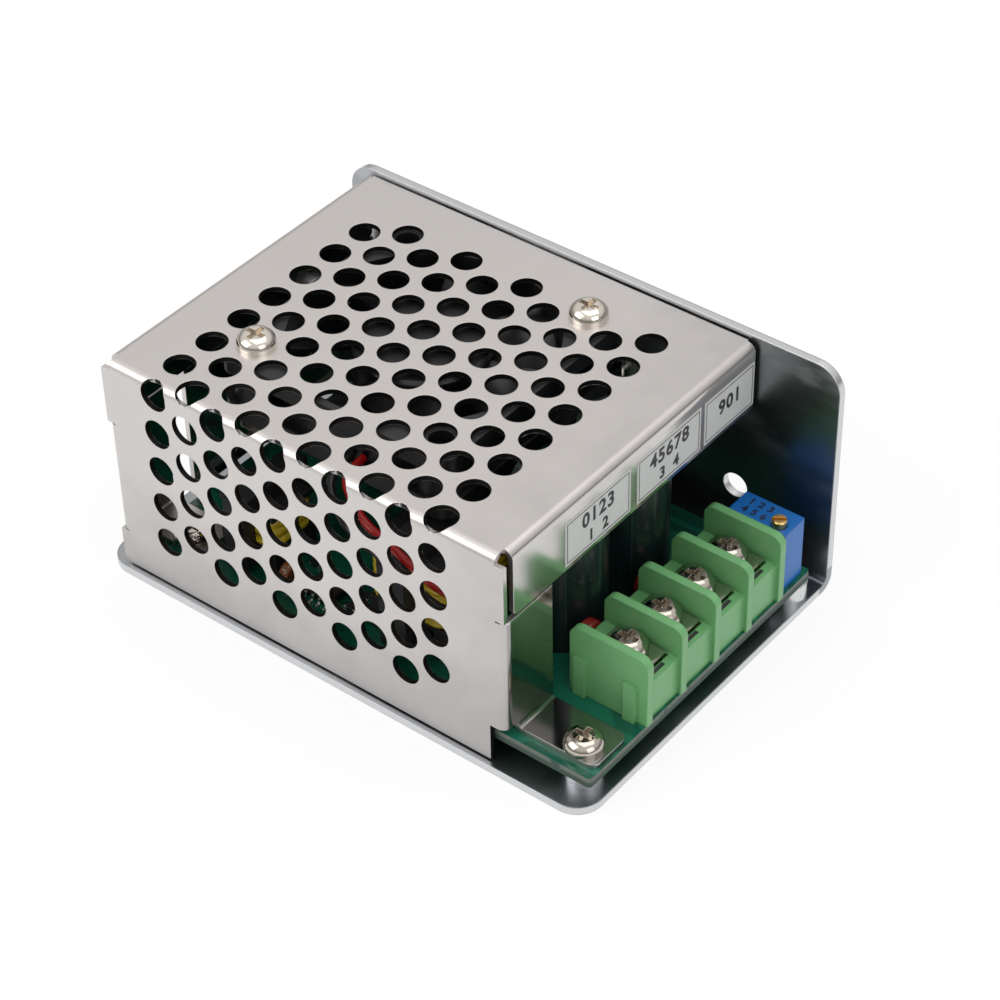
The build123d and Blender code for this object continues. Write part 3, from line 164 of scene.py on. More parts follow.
class Shader:
    """Builds one node material around a Principled surface."""

    def __init__(self, name: str, tree: bpy.types.NodeTree | None = None) -> None:
        """Starts an empty material, or clears a node tree that is given.

        Args:
            name: The material's name.
            tree: The world's node tree, where the shader is not a material.
        """
        self.material = None if tree else bpy.data.materials.new(name)
        if self.material:
            self.material.use_nodes = True
        self.tree = tree or self.material.node_tree
        self.tree.nodes.clear()

    def node(
        self,
        kind: str,
        settings: dict[str, Any] | None = None,
        sockets: dict[str | int, Any] | None = None,
        out: str | int = 0,
    ) -> Signal:
        """Adds any node, its settings first and then its sockets.

        Args:
            kind: The node's type.
            settings: Its properties; stops are a colour ramp's places and colours.
            sockets: Values or signals by socket name or number.
            out: The output that is wanted.

        Returns:
            The chosen output as a signal.
        """
        made = self.tree.nodes.new(kind)
        for key, value in (settings or {}).items():
            if key == "stops":
                self._set_stops(made.color_ramp, value)
            else:
                setattr(made, key, value)
        for key, value in (sockets or {}).items():
            if isinstance(value, Signal):
                self.tree.links.new(value.socket, made.inputs[key])
            else:
                made.inputs[key].default_value = value
        return Signal(self, made.outputs[out] if made.outputs else None)

    @staticmethod
    def _set_stops(ramp: bpy.types.ColorRamp, stops: Sequence[tuple[float, Color]]) -> None:
        """Places a colour ramp's stops."""
        while len(ramp.elements) < len(stops):
            ramp.elements.new(1.0)
        for element, (place, color) in zip(ramp.elements, stops):
            element.position = place
            element.color = color

    def coords(self, scale: Point = (1.0, 1.0, 1.0), turn: Point = (0.0, 0.0, 0.0)) -> Signal:
        """Gives the object's own coordinates in millimetres, scaled and turned.

        Args:
            scale: Factors along X, Y and Z.
            turn: Angles about X, Y and Z in radians.

        Returns:
            The vector.
        """
        own = self.node("ShaderNodeTexCoord", None, None, "Object")
        in_mm = tuple(factor / MM for factor in scale)
        return self.node("ShaderNodeMapping", None, {"Vector": own, "Rotation": turn, "Scale": in_mm})

    def noise(self, vector: Signal, scale: float, octaves: float, small_share: float) -> Signal:
        """Gives smooth random values from 0 to 1.

        Args:
            vector: Where it is read.
            scale: Features in each millimetre.
            octaves: How many finer layers it has.
            small_share: How strong the finer layers are.

        Returns:
            The noise.
        """
        sockets = {"Vector": vector, "Scale": scale, "Detail": octaves, "Roughness": small_share}
        return self.node("ShaderNodeTexNoise", None, sockets, "Fac")

    def facing(self, letter: str) -> Signal:
        """Gives how far the surface faces along X, Y or Z, either way."""
        return abs(self.node("ShaderNodeNewGeometry", None, None, "Normal").part(letter))

    def blend(self, factor: Value, first: Value, second: Value) -> Signal:
        """Mixes two colours.

        Args:
            factor: 0 gives the first colour and 1 the second.
            first: A colour.
            second: Another colour.

        Returns:
            The mixed colour.
        """
        return self.node(
            "ShaderNodeMix", {"data_type": "RGBA"}, {0: factor, 6: first, 7: second}, 2
        )

    def soft_edges(self, radius_mm: float) -> Signal:
        """Gives a normal that rounds the sharp edges by a radius."""
        return self.node("ShaderNodeBevel", {"samples": BEVEL_SAMPLES}, {"Radius": radius_mm * MM})

    def bump(self, height: Signal, depth_mm: float, normal: Signal | None = None) -> Signal:
        """Gives a normal from a height that runs from 0 to 1.

        Args:
            height: The relief.
            depth_mm: Its depth in millimetres.
            normal: A normal to add it to.

        Returns:
            The new normal.
        """
        sockets: dict[str | int, Any] = {"Height": height, "Distance": depth_mm * MM, "Strength": 1.0}
        if normal is not None:
            sockets["Normal"] = normal
        return self.node("ShaderNodeBump", None, sockets)

    def surface(self, color: Value, rough: Value, **more: Value) -> bpy.types.Material:
        """Ends the material in a Principled surface.

        Args:
            color: The base colour.
            rough: The roughness.
            more: Other sockets, by name with _ for a space.

        Returns:
            The finished material.
        """
        sockets: dict[str | int, Any] = {"Base Color": color, "Roughness": rough}
        for key, value in more.items():
            name = key.replace("_", " ").title().replace("Ior", "IOR")
            sockets[name] = value
        shader = self.node("ShaderNodeBsdfPrincipled", None, sockets)
        self.node("ShaderNodeOutputMaterial", None, {"Surface": shader})
        return self.material


@dataclass(frozen=True)
class Mottle:
    """One random pattern on the object's own coordinates, with values from 0 to 1."""

    scale: float = 1.0
    octaves: float = 2.0
    small_share: float = 0.5
    stretch: Point = (1.0, 1.0, 1.0)
    turn: Point = (0.0, 0.0, 0.0)

    def on(self, shader: Shader) -> Signal:
        """Lays the pattern in a material.

        Args:
            shader: The material.

        Returns:
            The pattern.
        """
        place = shader.coords(self.stretch, self.turn)
        return shader.noise(place, self.scale, self.octaves, self.small_share)


_made: dict[Any, bpy.types.Material] = {}


@dataclass(frozen=True)
class Finish:
    """A surface finish, made into one material the first time that it is asked for."""

    name: str

    def dress(self, shader: Shader) -> None:
        """Builds the nodes of the finish."""
        raise NotImplementedError

    @property
    def material(self) -> bpy.types.Material:
        """The finish's material."""
        if self not in _made:
            shader = Shader(self.name)
            self.dress(shader)
            _made[self] = shader.material
        return _made[self]


@dataclass(frozen=True)
class SatinCover(Finish):
    """Nickel-plated rolled sheet: satin on top and side, nearly a mirror on the end flanges."""

    color: Color = rgb(0.645, 0.618, 0.604)
    # The colour of the turned-in flange and tab is a painted shade.
    inward_shade: Color = rgb(0.34, 0.33, 0.325)
    # The colour of the hole walls is a painted shade, near black.
    wall_shade: Color = rgb(0.030, 0.029, 0.029)
    satin: float = 0.37
    bright: float = 0.13
    torn: float = 0.55
    cloud: Mottle = Mottle(0.045, 4.0, 0.55)
    blotch: Mottle = Mottle(0.16, 3.0)
    grain: Mottle = Mottle(1.0, 3.0, 0.6, (0.35, 6.0, 6.0))
    speck: Mottle = Mottle(9.0, 1.0)
    cloud_rough: float = 0.16
    grain_rough: float = 0.06
    shade: float = 0.30
    foot_height: Span = (0.0, 24.0)
    # Painted shade: the sheet darkens towards the floor, and towards the terminal end above that.
    foot_painted_shade: float = 0.8
    end_shade_stretch: Span = (0.0, 30.0)
    end_painted_shade: float = 0.42
    blotch_tarnish: float = 0.5
    cloud_tarnish: float = 0.6
    grain_relief: float = 0.15
    speck_relief: float = 0.15
    blotch_relief: float = 0.7
    relief_mm: float = 0.012
    edge_mm: float = 0.15
    top_inside: float = 36.55
    side_inside: float = -27.35
    bend_low: float = 36.2
    bend_far: float = -27.0
    hole_field: Span = (-36.5, 27.0)
    inward_top: float = 26.0
    end_facing: Span = (0.75, 0.95)
    side_facing: Span = (0.3, 0.6)
    wall_facing: Span = (0.12, 0.22)
    bend_facing: Span = (0.30, 0.45)

    def _hole_walls(self, shader: Shader, place: Signal) -> Signal:
        """Finds the sheared walls of the punched holes.

        Args:
            shader: The material.
            place: The object's coordinates in millimetres.

        Returns:
            1 on a wall and 0 elsewhere.
        """
        height, depth, along = place.part("Z"), place.part("Y"), place.part("X")
        across_top = 1.0 - shader.facing("Z").ramp(*self.wall_facing)
        across_side = 1.0 - shader.facing("Y").ramp(*self.wall_facing)
        across_bend = shader.facing("X").ramp(*self.bend_facing)
        in_top = height.above(self.top_inside) * across_top
        in_side = depth.below(self.side_inside) * across_side
        in_bend = height.above(self.bend_low) * depth.below(self.bend_far) * across_bend
        in_field = along.above(self.hole_field[0]) * along.below(self.hole_field[1])
        return in_top.larger(in_side).larger(in_bend) * in_field

    def _turned_in(self, shader: Shader, place: Signal) -> Signal:
        """Finds the side flange and the tab beside the terminals, which lie in shadow.

        Args:
            shader: The material.
            place: The object's coordinates in millimetres.

        Returns:
            1 on the flange and the tab, and 0 elsewhere.
        """
        beside_board = place.part("X").above(self.hole_field[1])
        below_flange = place.part("Z").below(self.inward_top)
        return beside_board * below_flange * (1.0 - shader.facing("Y").ramp(*self.side_facing))

    def dress(self, shader: Shader) -> None:
        """Builds the rolling grain, the cloudy patches and the bright flanges, with painted shade on the
        hole walls, the turned-in flange and tab, the lower sheet and the terminal end.
        """
        place = shader.coords()
        cloud, blotch = self.cloud.on(shader), self.blotch.on(shader)
        grain, speck = self.grain.on(shader), self.speck.on(shader)
        walls = self._hole_walls(shader, place)
        turned_in = self._turned_in(shader, place)
        polished = shader.facing("X").ramp(*self.end_facing).larger(turned_in)
        satin = self.satin + cloud.swing(self.cloud_rough) + grain.swing(self.grain_rough)
        plain = satin + (self.bright - satin) * polished
        rough = plain + (self.torn - plain) * walls
        # Painted shade: the colour darkens towards the bottom of the cover and towards the terminal end;
        # the blotches and clouds add tarnish at random.
        foot = 1.0 - place.part("Z").ramp(*self.foot_height)
        toward_end = place.part("X").ramp(*self.end_shade_stretch) * (1.0 - foot)
        painted_shade = foot * self.foot_painted_shade + toward_end * self.end_painted_shade
        shade_and_tarnish = painted_shade + blotch.swing(self.blotch_tarnish) + cloud.swing(self.cloud_tarnish)
        outside = shader.blend(shade_and_tarnish.ramp(0.0, 1.0), self.color, scaled(self.color, 1.0 - self.shade))
        # Painted shade: the turned-in side flange and tab, which lie in shadow, take a darker colour.
        sheet = shader.blend(turned_in, outside, self.inward_shade)
        # Painted shade: the walls of the punched holes are coloured near black.
        color = shader.blend(walls, sheet, self.wall_shade)
        relief = grain * self.grain_relief + speck * self.speck_relief + blotch * self.blotch_relief
        normal = shader.bump(relief, self.relief_mm, shader.soft_edges(self.edge_mm))
        shader.surface(color, rough, metallic=1.0, normal=normal)


@dataclass(frozen=True)
class BrightPlate(Finish):
    """Zinc-bright sheet of the case plate: cloudy faces that were wiped, and rims lightened with a painted
    highlight.
    """

    color: Color = rgb(0.33, 0.345, 0.365)
    wiped: Color = rgb(0.50, 0.51, 0.53)
    # The colour of the rims is a painted highlight.
    rim_highlight: Color = rgb(0.63, 0.64, 0.65)
    rough: float = 0.31
    rim_rough: float = 0.30
    wiped_rough: float = 0.24
    cloud_rough: float = 0.14
    cloud: Mottle = Mottle(0.07, 3.0)
    smear: Mottle = Mottle(1.0, 3.0, 0.55, (0.06, 0.06, 0.16), (0.0, 0.6, 0.0))
    streak: Mottle = Mottle(1.0, 2.0, 0.5, (0.25, 5.0, 5.0))
    smear_height: Span = (14.0, 36.0)
    smear_level: Span = (0.40, 0.70)
    smear_low_share: float = 0.30
    smear_high_share: float = 0.70
    cloud_level: Span = (0.56, 0.80)
    cloud_share: float = 0.45
    streak_relief: float = 0.2
    cloud_relief: float = 0.8
    relief_mm: float = 0.008
    edge_mm: float = 0.28
    wall_foot: float = 3.6
    wall_depth: float = 26.0
    flat_facing: Span = (0.3, 0.5)

    def _rims(self, shader: Shader, place: Signal) -> Signal:
        """Finds the cut edges of the sheet, on the floor and on the wall.

        Args:
            shader: The material.
            place: The object's coordinates in millimetres.

        Returns:
            1 on an edge and 0 elsewhere.
        """
        on_wall = place.part("Z").above(self.wall_foot)
        flat_wall = shader.facing("Y").ramp(*self.flat_facing)
        flat_floor = shader.facing("Z").ramp(*self.flat_facing)
        before_wall = place.part("Y").below(self.wall_depth)
        return (1.0 - flat_wall) * on_wall + (1.0 - flat_floor) * (1.0 - on_wall) * before_wall

    def dress(self, shader: Shader) -> None:
        """Builds the clouds, the wiped smears, the streaks and the painted highlight on the rims."""
        place = shader.coords()
        cloud, streak = self.cloud.on(shader), self.streak.on(shader)
        smear = self.smear.on(shader).ramp(*self.smear_level)
        high = place.part("Z").ramp(*self.smear_height)
        smeared = smear * (self.smear_low_share + high * self.smear_high_share)
        wiped = smeared.larger(cloud.ramp(*self.cloud_level) * self.cloud_share)
        rims = self._rims(shader, place)
        face = self.rough + wiped * self.wiped_rough + cloud.swing(self.cloud_rough)
        rough = face + (self.rim_rough - face) * rims
        # Painted highlight: the cut rims take a lighter colour than the faces.
        color = shader.blend(rims, shader.blend(wiped, self.color, self.wiped), self.rim_highlight)
        relief = streak * self.streak_relief + cloud * self.cloud_relief
        normal = shader.bump(relief, self.relief_mm, shader.soft_edges(self.edge_mm))
        shader.surface(color, rough, metallic=1.0, normal=normal)


@dataclass(frozen=True)
class PlatedMetal(Finish):
    """Plated screws, pins, cans and other small metal pieces."""

    color: Color
    rough: float = 0.15
    wear: float = 0.12
    edge_mm: float = 0.1
    grain_mm: float = 0.0015
    spots: Mottle = Mottle(0.9, 3.0)
    scratches: Mottle = Mottle(6.0)
    worn_level: Span = (0.45, 0.8)
    dull_level: Span = (0.5, 0.9)
    dull_share: float = 0.8

    def dress(self, shader: Shader) -> None:
        """Builds the small scratches and dull spots."""
        spots = self.spots.on(shader)
        rough = self.rough + spots.ramp(*self.worn_level) * self.wear
        color = shader.blend(spots.ramp(*self.dull_level), self.color, scaled(self.color, self.dull_share))
        normal = shader.bump(self.scratches.on(shader), self.grain_mm, shader.soft_edges(self.edge_mm))
        shader.surface(color, rough, metallic=1.0, normal=normal)


@dataclass(frozen=True)
class MouldedPlastic(Finish):
    """Moulded plastic with a fine skin, faint flow marks and rounded edges."""

    color: Color
    rough: float = 0.42
    skin_mm: float = 0.004
    edge_mm: float = 0.2
    flow_shade: float = 0.10
    flow: Mottle = Mottle(0.12, 3.0)
    skin: Mottle = Mottle(5.0)
    skin_rough: float = 0.08
    flow_rough: float = 0.06

    def dress(self, shader: Shader) -> None:
        """Builds the skin, the flow marks and the soft edges."""
        flow, skin = self.flow.on(shader), self.skin.on(shader)
        color = shader.blend(flow, scaled(self.color, 1.0 - self.flow_shade), self.color)
        rough = self.rough + skin.swing(self.skin_rough) + flow.swing(self.flow_rough)
        normal = shader.bump(skin, self.skin_mm, shader.soft_edges(self.edge_mm))
        shader.surface(color, rough, normal=normal)


@dataclass(frozen=True)
class BoardMask(Finish):
    """Green solder mask over copper tracks, with a bare glass-fibre edge."""

    mask: Color = rgb(0.003, 0.078, 0.048)
    track: Color = rgb(0.006, 0.125, 0.075)
    fibre: Color = rgb(0.16, 0.18, 0.155)
    resin: Color = rgb(0.09, 0.11, 0.09)
    edge_dark: Color = rgb(0.010, 0.040, 0.028)
    sway: Mottle = Mottle(1.0, 0.0, 0.5, (0.06, 0.3, 0.3))
    sway_mm: float = 3.0
    track_pitch: float = 3.6
    track_half: Span = (0.9, 1.1)
    pour: Mottle = Mottle(0.09, 0.0)
    pour_level: Span = (0.50, 0.52)
    weave: Mottle = Mottle(1.0, 2.0, 0.5, (0.4, 0.4, 9.0))
    dirt: Mottle = Mottle(1.0, 3.0, 0.5, (0.5, 0.5, 0.3))
    dirt_level: Span = (0.58, 0.72)
    edge_height: Span = (5.0, 5.6)
    edge_dark_share: float = 0.85
    face_facing: Span = (0.4, 0.6)
    edge_rough: float = 0.62
    face_gloss: float = 0.36
    dull: Mottle = Mottle(0.4)
    dull_rough: float = 0.08
    copper_relief: float = 0.7
    weave_relief: float = 0.3
    relief_mm: float = 0.02
    edge_mm: float = 0.12
    coat: float = 0.25

    def _bare_edge(self, shader: Shader, place: Signal, weave: Signal) -> Signal:
        """Colours the board's sawn edge: pale fibre above, darker towards the bottom and in patches of
        dirt.

        Args:
            shader: The material.
            place: The object's coordinates in millimetres.
            weave: The layers of glass fibre.

        Returns:
            The edge's colour.
        """
        low = 1.0 - place.part("Z").ramp(*self.edge_height)
        dirt = self.dirt.on(shader).ramp(*self.dirt_level)
        fibre = shader.blend(weave, self.fibre, self.resin)
        # The edge darkens towards the bottom, and in patches of dirt.
        return shader.blend(low.larger(dirt) * self.edge_dark_share, fibre, self.edge_dark)

    def dress(self, shader: Shader) -> None:
        """Builds tracks that run along the board, their relief and the bare edge."""
        place = shader.coords()
        swayed = place.part("Y") + self.sway.on(shader).swing(self.sway_mm)
        from_middle = abs(swayed.repeat(self.track_pitch) - self.track_pitch / 2)
        pour = self.pour.on(shader).ramp(*self.pour_level)
        copper = from_middle.ramp(*self.track_half).larger(pour)
        weave = self.weave.on(shader)
        face = shader.facing("Z").ramp(*self.face_facing)
        green = shader.blend(copper, self.mask, self.track)
        color = shader.blend(face, self._bare_edge(shader, place, weave), green)
        rough = self.edge_rough - face * self.face_gloss + self.dull.on(shader).swing(self.dull_rough)
        relief = copper * self.copper_relief + weave * self.weave_relief
        normal = shader.bump(relief, self.relief_mm, shader.soft_edges(self.edge_mm))
        shader.surface(color, rough, normal=normal, coat_weight=face * self.coat)


@dataclass(frozen=True)
class Ferrite(Finish):
    """Sintered grey ferrite, grainy and a little chipped."""

    color: Color = rgb(0.018, 0.019, 0.022)
    pit: Color = rgb(0.05, 0.05, 0.055)
    grain: Mottle = Mottle(3.5, 4.0, 0.7)
    pit_level: Span = (0.55, 0.8)
    rough: float = 0.42
    grain_rough: float = 0.2
    relief_mm: float = 0.02
    edge_mm: float = 0.3

    def dress(self, shader: Shader) -> None:
        """Builds the grain and the paler pits."""
        grain = self.grain.on(shader)
        color = shader.blend(grain.ramp(*self.pit_level), self.color, self.pit)
        normal = shader.bump(grain, self.relief_mm, shader.soft_edges(self.edge_mm))
        shader.surface(color, self.rough + grain * self.grain_rough, normal=normal)


@dataclass(frozen=True)
class CoilTape(Finish):
    """Yellow polyester tape wound in overlapping turns."""

    color: Color = rgb(0.78, 0.60, 0.03)
    # The darker tape colour is a painted shadow under each overlap.
    lap_shadow: Color = rgb(0.60, 0.42, 0.015)
    turn_mm: float = 2.3
    wander: Mottle = Mottle(0.2)
    wander_mm: float = 0.8
    lap_start: Span = (0.0, 0.08)
    lap_end: Span = (0.5, 0.56)
    lap_fall: float = 0.6
    wrinkle: Mottle = Mottle(1.0, 3.0, 0.5, (0.8, 0.8, 3.0))
    rough: float = 0.22
    wrinkle_rough: float = 0.15
    lap_relief: float = 0.6
    wrinkle_relief: float = 0.4
    relief_mm: float = 0.05
    edge_mm: float = 0.3
    coat: float = 0.5

    def dress(self, shader: Shader) -> None:
        """Builds the overlaps as fine steps up the coil, with a painted shadow under each step."""
        wandering = shader.coords().part("Z") + self.wander.on(shader) * self.wander_mm
        height = wandering.repeat(self.turn_mm) / self.turn_mm
        overlap = height.ramp(*self.lap_start) - height.ramp(*self.lap_end) * self.lap_fall
        wrinkle = self.wrinkle.on(shader)
        # Painted shadow: the tape darkens where one turn laps under the next.
        color = shader.blend(overlap, self.lap_shadow, self.color)
        relief = overlap * self.lap_relief + wrinkle * self.wrinkle_relief
        normal = shader.bump(relief, self.relief_mm, shader.soft_edges(self.edge_mm))
        rough = self.rough + wrinkle * self.wrinkle_rough
        shader.surface(color, rough, normal=normal, coat_weight=self.coat)


@dataclass(frozen=True)
class SleeveFilm(Finish):
    """Shrunk film sleeve with one pale stripe along the can's negative side."""

    color: Color = rgb(0.004, 0.013, 0.013)
    stripe: Color = rgb(0.030, 0.062, 0.058)
    centre: tuple[float, float] = (0.0, 0.0)
    stripe_side: Span = (1.7, 1.85)
    ripple: Mottle = Mottle(1.0, 2.0, 0.5, (0.5, 0.5, 0.2))
    fold: Mottle = Mottle(1.0, 1.0, 0.5, (1.6, 1.6, 0.02))
    fold_level: Span = (0.60, 0.70)
    fold_share: float = 0.5
    rough: float = 0.26
    ripple_rough: float = 0.12
    relief_mm: float = 0.03
    edge_mm: float = 0.15
    coat: float = 0.25

    def dress(self, shader: Shader) -> None:
        """Builds the stripe, the sleeve's ripples and its gloss."""
        place = shader.coords()
        middle_x, middle_y = self.centre
        off_stripe = abs(place.part("Y") - middle_y).ramp(*self.stripe_side)
        stripe = (1.0 - off_stripe) * place.part("X").below(middle_x)
        ripple = self.ripple.on(shader)
        fold = self.fold.on(shader).ramp(*self.fold_level)
        film = shader.blend(fold * self.fold_share, self.color, self.stripe)
        color = shader.blend(stripe, film, self.stripe)
        normal = shader.bump(ripple, self.relief_mm, shader.soft_edges(self.edge_mm))
        rough = self.rough + ripple * self.ripple_rough
        shader.surface(color, rough, normal=normal, coat_weight=self.coat)


@dataclass(frozen=True)
class DippedCoat(Finish):
    """Glossy dipped coat with the slight waves of a drop that dried."""

    color: Color
    wave: Mottle = Mottle(0.5, 1.0)
    speck: Mottle = Mottle(4.0)
    speck_level: Span = (0.55, 0.85)
    speck_light: float = 1.5
    rough: float = 0.16
    speck_rough: float = 0.1
    relief_mm: float = 0.12
    edge_mm: float = 0.2
    coat: float = 0.6

    def dress(self, shader: Shader) -> None:
        """Builds the waves and the faint speckle."""
        speck = self.speck.on(shader)
        pale = scaled(self.color, self.speck_light)
        color = shader.blend(speck.ramp(*self.speck_level), self.color, pale)
        normal = shader.bump(self.wave.on(shader), self.relief_mm, shader.soft_edges(self.edge_mm))
        rough = self.rough + speck * self.speck_rough
        shader.surface(color, rough, normal=normal, coat_weight=self.coat)


@dataclass(frozen=True)
class LabelPaper(Finish):
    """Printed film label, or the ink on it: a little uneven, with a soft gloss."""

    color: Color = rgb(0.54, 0.555, 0.55)
    ink: bool = False
    thin_ink: Color = rgb(0.10, 0.10, 0.11)
    mottle: Mottle = Mottle(0.35, 4.0, 0.6)
    fibre: Mottle = Mottle(5.0)
    thin_level: Span = (0.5, 0.85)
    shade: float = 0.86
    rough: float = 0.36
    fibre_rough: float = 0.1
    mottle_relief: float = 0.7
    fibre_relief: float = 0.3
    relief_mm: float = 0.012

    def dress(self, shader: Shader) -> None:
        """Builds the paper's mottling, or the print's thin patches."""
        mottle, fibre = self.mottle.on(shader), self.fibre.on(shader)
        if self.ink:
            color = shader.blend(fibre.ramp(*self.thin_level), self.color, self.thin_ink)
        else:
            color = shader.blend(mottle, self.color, scaled(self.color, self.shade))
        relief = mottle * self.mottle_relief + fibre * self.fibre_relief
        normal = shader.bump(relief, self.relief_mm)
        shader.surface(color, self.rough + fibre * self.fibre_rough, normal=normal)


class Metal(Enum):
    """The plated metals, by what they are used for."""

    NICKEL = PlatedMetal(
        "nickel_plate", rgb(0.70, 0.65, 0.58), rough=0.12, wear=0.10, edge_mm=0.12, grain_mm=0.004
    )
    # A darker copy of the nickel, whose colour is painted shade, for the screws and clamps inside the
    # case.
    SHADED_NICKEL = PlatedMetal(
        "shaded_nickel", rgb(0.52, 0.475, 0.42), rough=0.11, wear=0.12, edge_mm=0.12, grain_mm=0.006
    )
    TIN = PlatedMetal("tin_plate", rgb(0.70, 0.69, 0.66), rough=0.24, wear=0.16)
    TURNED = PlatedMetal("turned_metal", rgb(0.66, 0.67, 0.68), rough=0.22)
    BRASS = PlatedMetal("trimmer_brass", rgb(0.78, 0.52, 0.20), rough=0.2)
    BRONZE = PlatedMetal("bearing_bronze", rgb(0.45, 0.26, 0.12), rough=0.4)
    STEEL = PlatedMetal("ground_steel", rgb(0.60, 0.60, 0.60), rough=0.12)
    CAN = PlatedMetal("drawn_can", rgb(0.62, 0.62, 0.63), rough=0.3, wear=0.2)
    SOLDER = PlatedMetal(
        "solder", rgb(0.62, 0.62, 0.62), rough=0.2, wear=0.25, edge_mm=0.05, grain_mm=0.01
    )


class Plastic(Enum):
    """The moulded plastics, by what they are used for."""

    TERMINAL = MouldedPlastic(
        "terminal_green", rgb(0.140, 0.372, 0.148), rough=0.36, skin_mm=0.005, edge_mm=0.28
    )
    TRIMMER = MouldedPlastic(
        "trimmer_blue", rgb(0.004, 0.125, 0.43), rough=0.36, skin_mm=0.008, edge_mm=0.3
    )
    FAN = MouldedPlastic("fan_black", rgb(0.007, 0.007, 0.008), rough=0.42)
    SOCKET = MouldedPlastic("socket_white", rgb(0.68, 0.66, 0.60), rough=0.4)
    CHIP = MouldedPlastic("chip_black", rgb(0.018, 0.018, 0.020), rough=0.5, skin_mm=0.01)
    BOBBIN = MouldedPlastic("bobbin_black", rgb(0.02, 0.02, 0.02), rough=0.45)
    PAD = MouldedPlastic("pad_grey", rgb(0.22, 0.24, 0.26), rough=0.6)
    MAGNET = MouldedPlastic("magnet_black", rgb(0.03, 0.03, 0.032), rough=0.5)
    RED_SKIN = MouldedPlastic("lead_red", rgb(0.42, 0.008, 0.006), rough=0.3, skin_mm=0.003)
    BLACK_SKIN = MouldedPlastic("lead_black", rgb(0.012, 0.012, 0.012), rough=0.3, skin_mm=0.003)


def dress(finish: Finish, *nodes: str) -> None:
    """Gives CAD nodes a finish.

    Args:
        finish: The finish.
        nodes: The nodes' names.
    """
    for name in nodes:
        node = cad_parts[name]
        node.data.materials.clear()
        node.data.materials.append(finish.material)
        log.info("%s has the finish %s", name, finish.name)


def take_on(piece: bpy.types.Object, body: str) -> bpy.types.Object:
    """Hands a finished piece to its body.

    Args:
        piece: The piece, with its place in its mesh.
        body: The CAD body that carries it.

    Returns:
        The same piece.
    """
    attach(piece, body)
    log.info("%s rides on %s, %d faces", piece.name, body, len(piece.data.polygons))
    return piece


def mesh_object(name: str, shape: bmesh.types.BMesh, finish: Finish) -> bpy.types.Object:
    """Turns a bmesh into an object at the origin.

    Args:
        name: The piece's name.
        shape: The mesh in metres, which is freed.
        finish: Its finish.

    Returns:
        The new object.
    """
    bmesh.ops.remove_doubles(shape, verts=shape.verts, dist=WELD)
    bmesh.ops.recalc_face_normals(shape, faces=shape.faces)
    data = bpy.data.meshes.new(name)
    shape.to_mesh(data)
    shape.free()
    data.materials.append(finish.material)
    made = bpy.data.objects.new(name, data)
    bpy.context.scene.collection.objects.link(made)
    return made


def add_box(shape: bmesh.types.BMesh, low: Point, high: Point) -> None:
    """Adds one closed box to a mesh, given in millimetres.

    Args:
        shape: The mesh.
        low: The lowest corner.
        high: The highest corner.
    """
    size = [abs(b - a) * MM for a, b in zip(low, high)]
    middle = Vector([(a + b) / 2 * MM for a, b in zip(low, high)])
    place = Matrix.Translation(middle) @ Matrix.Diagonal((*size, 1.0))
    bmesh.ops.create_cube(shape, size=1.0, matrix=place)


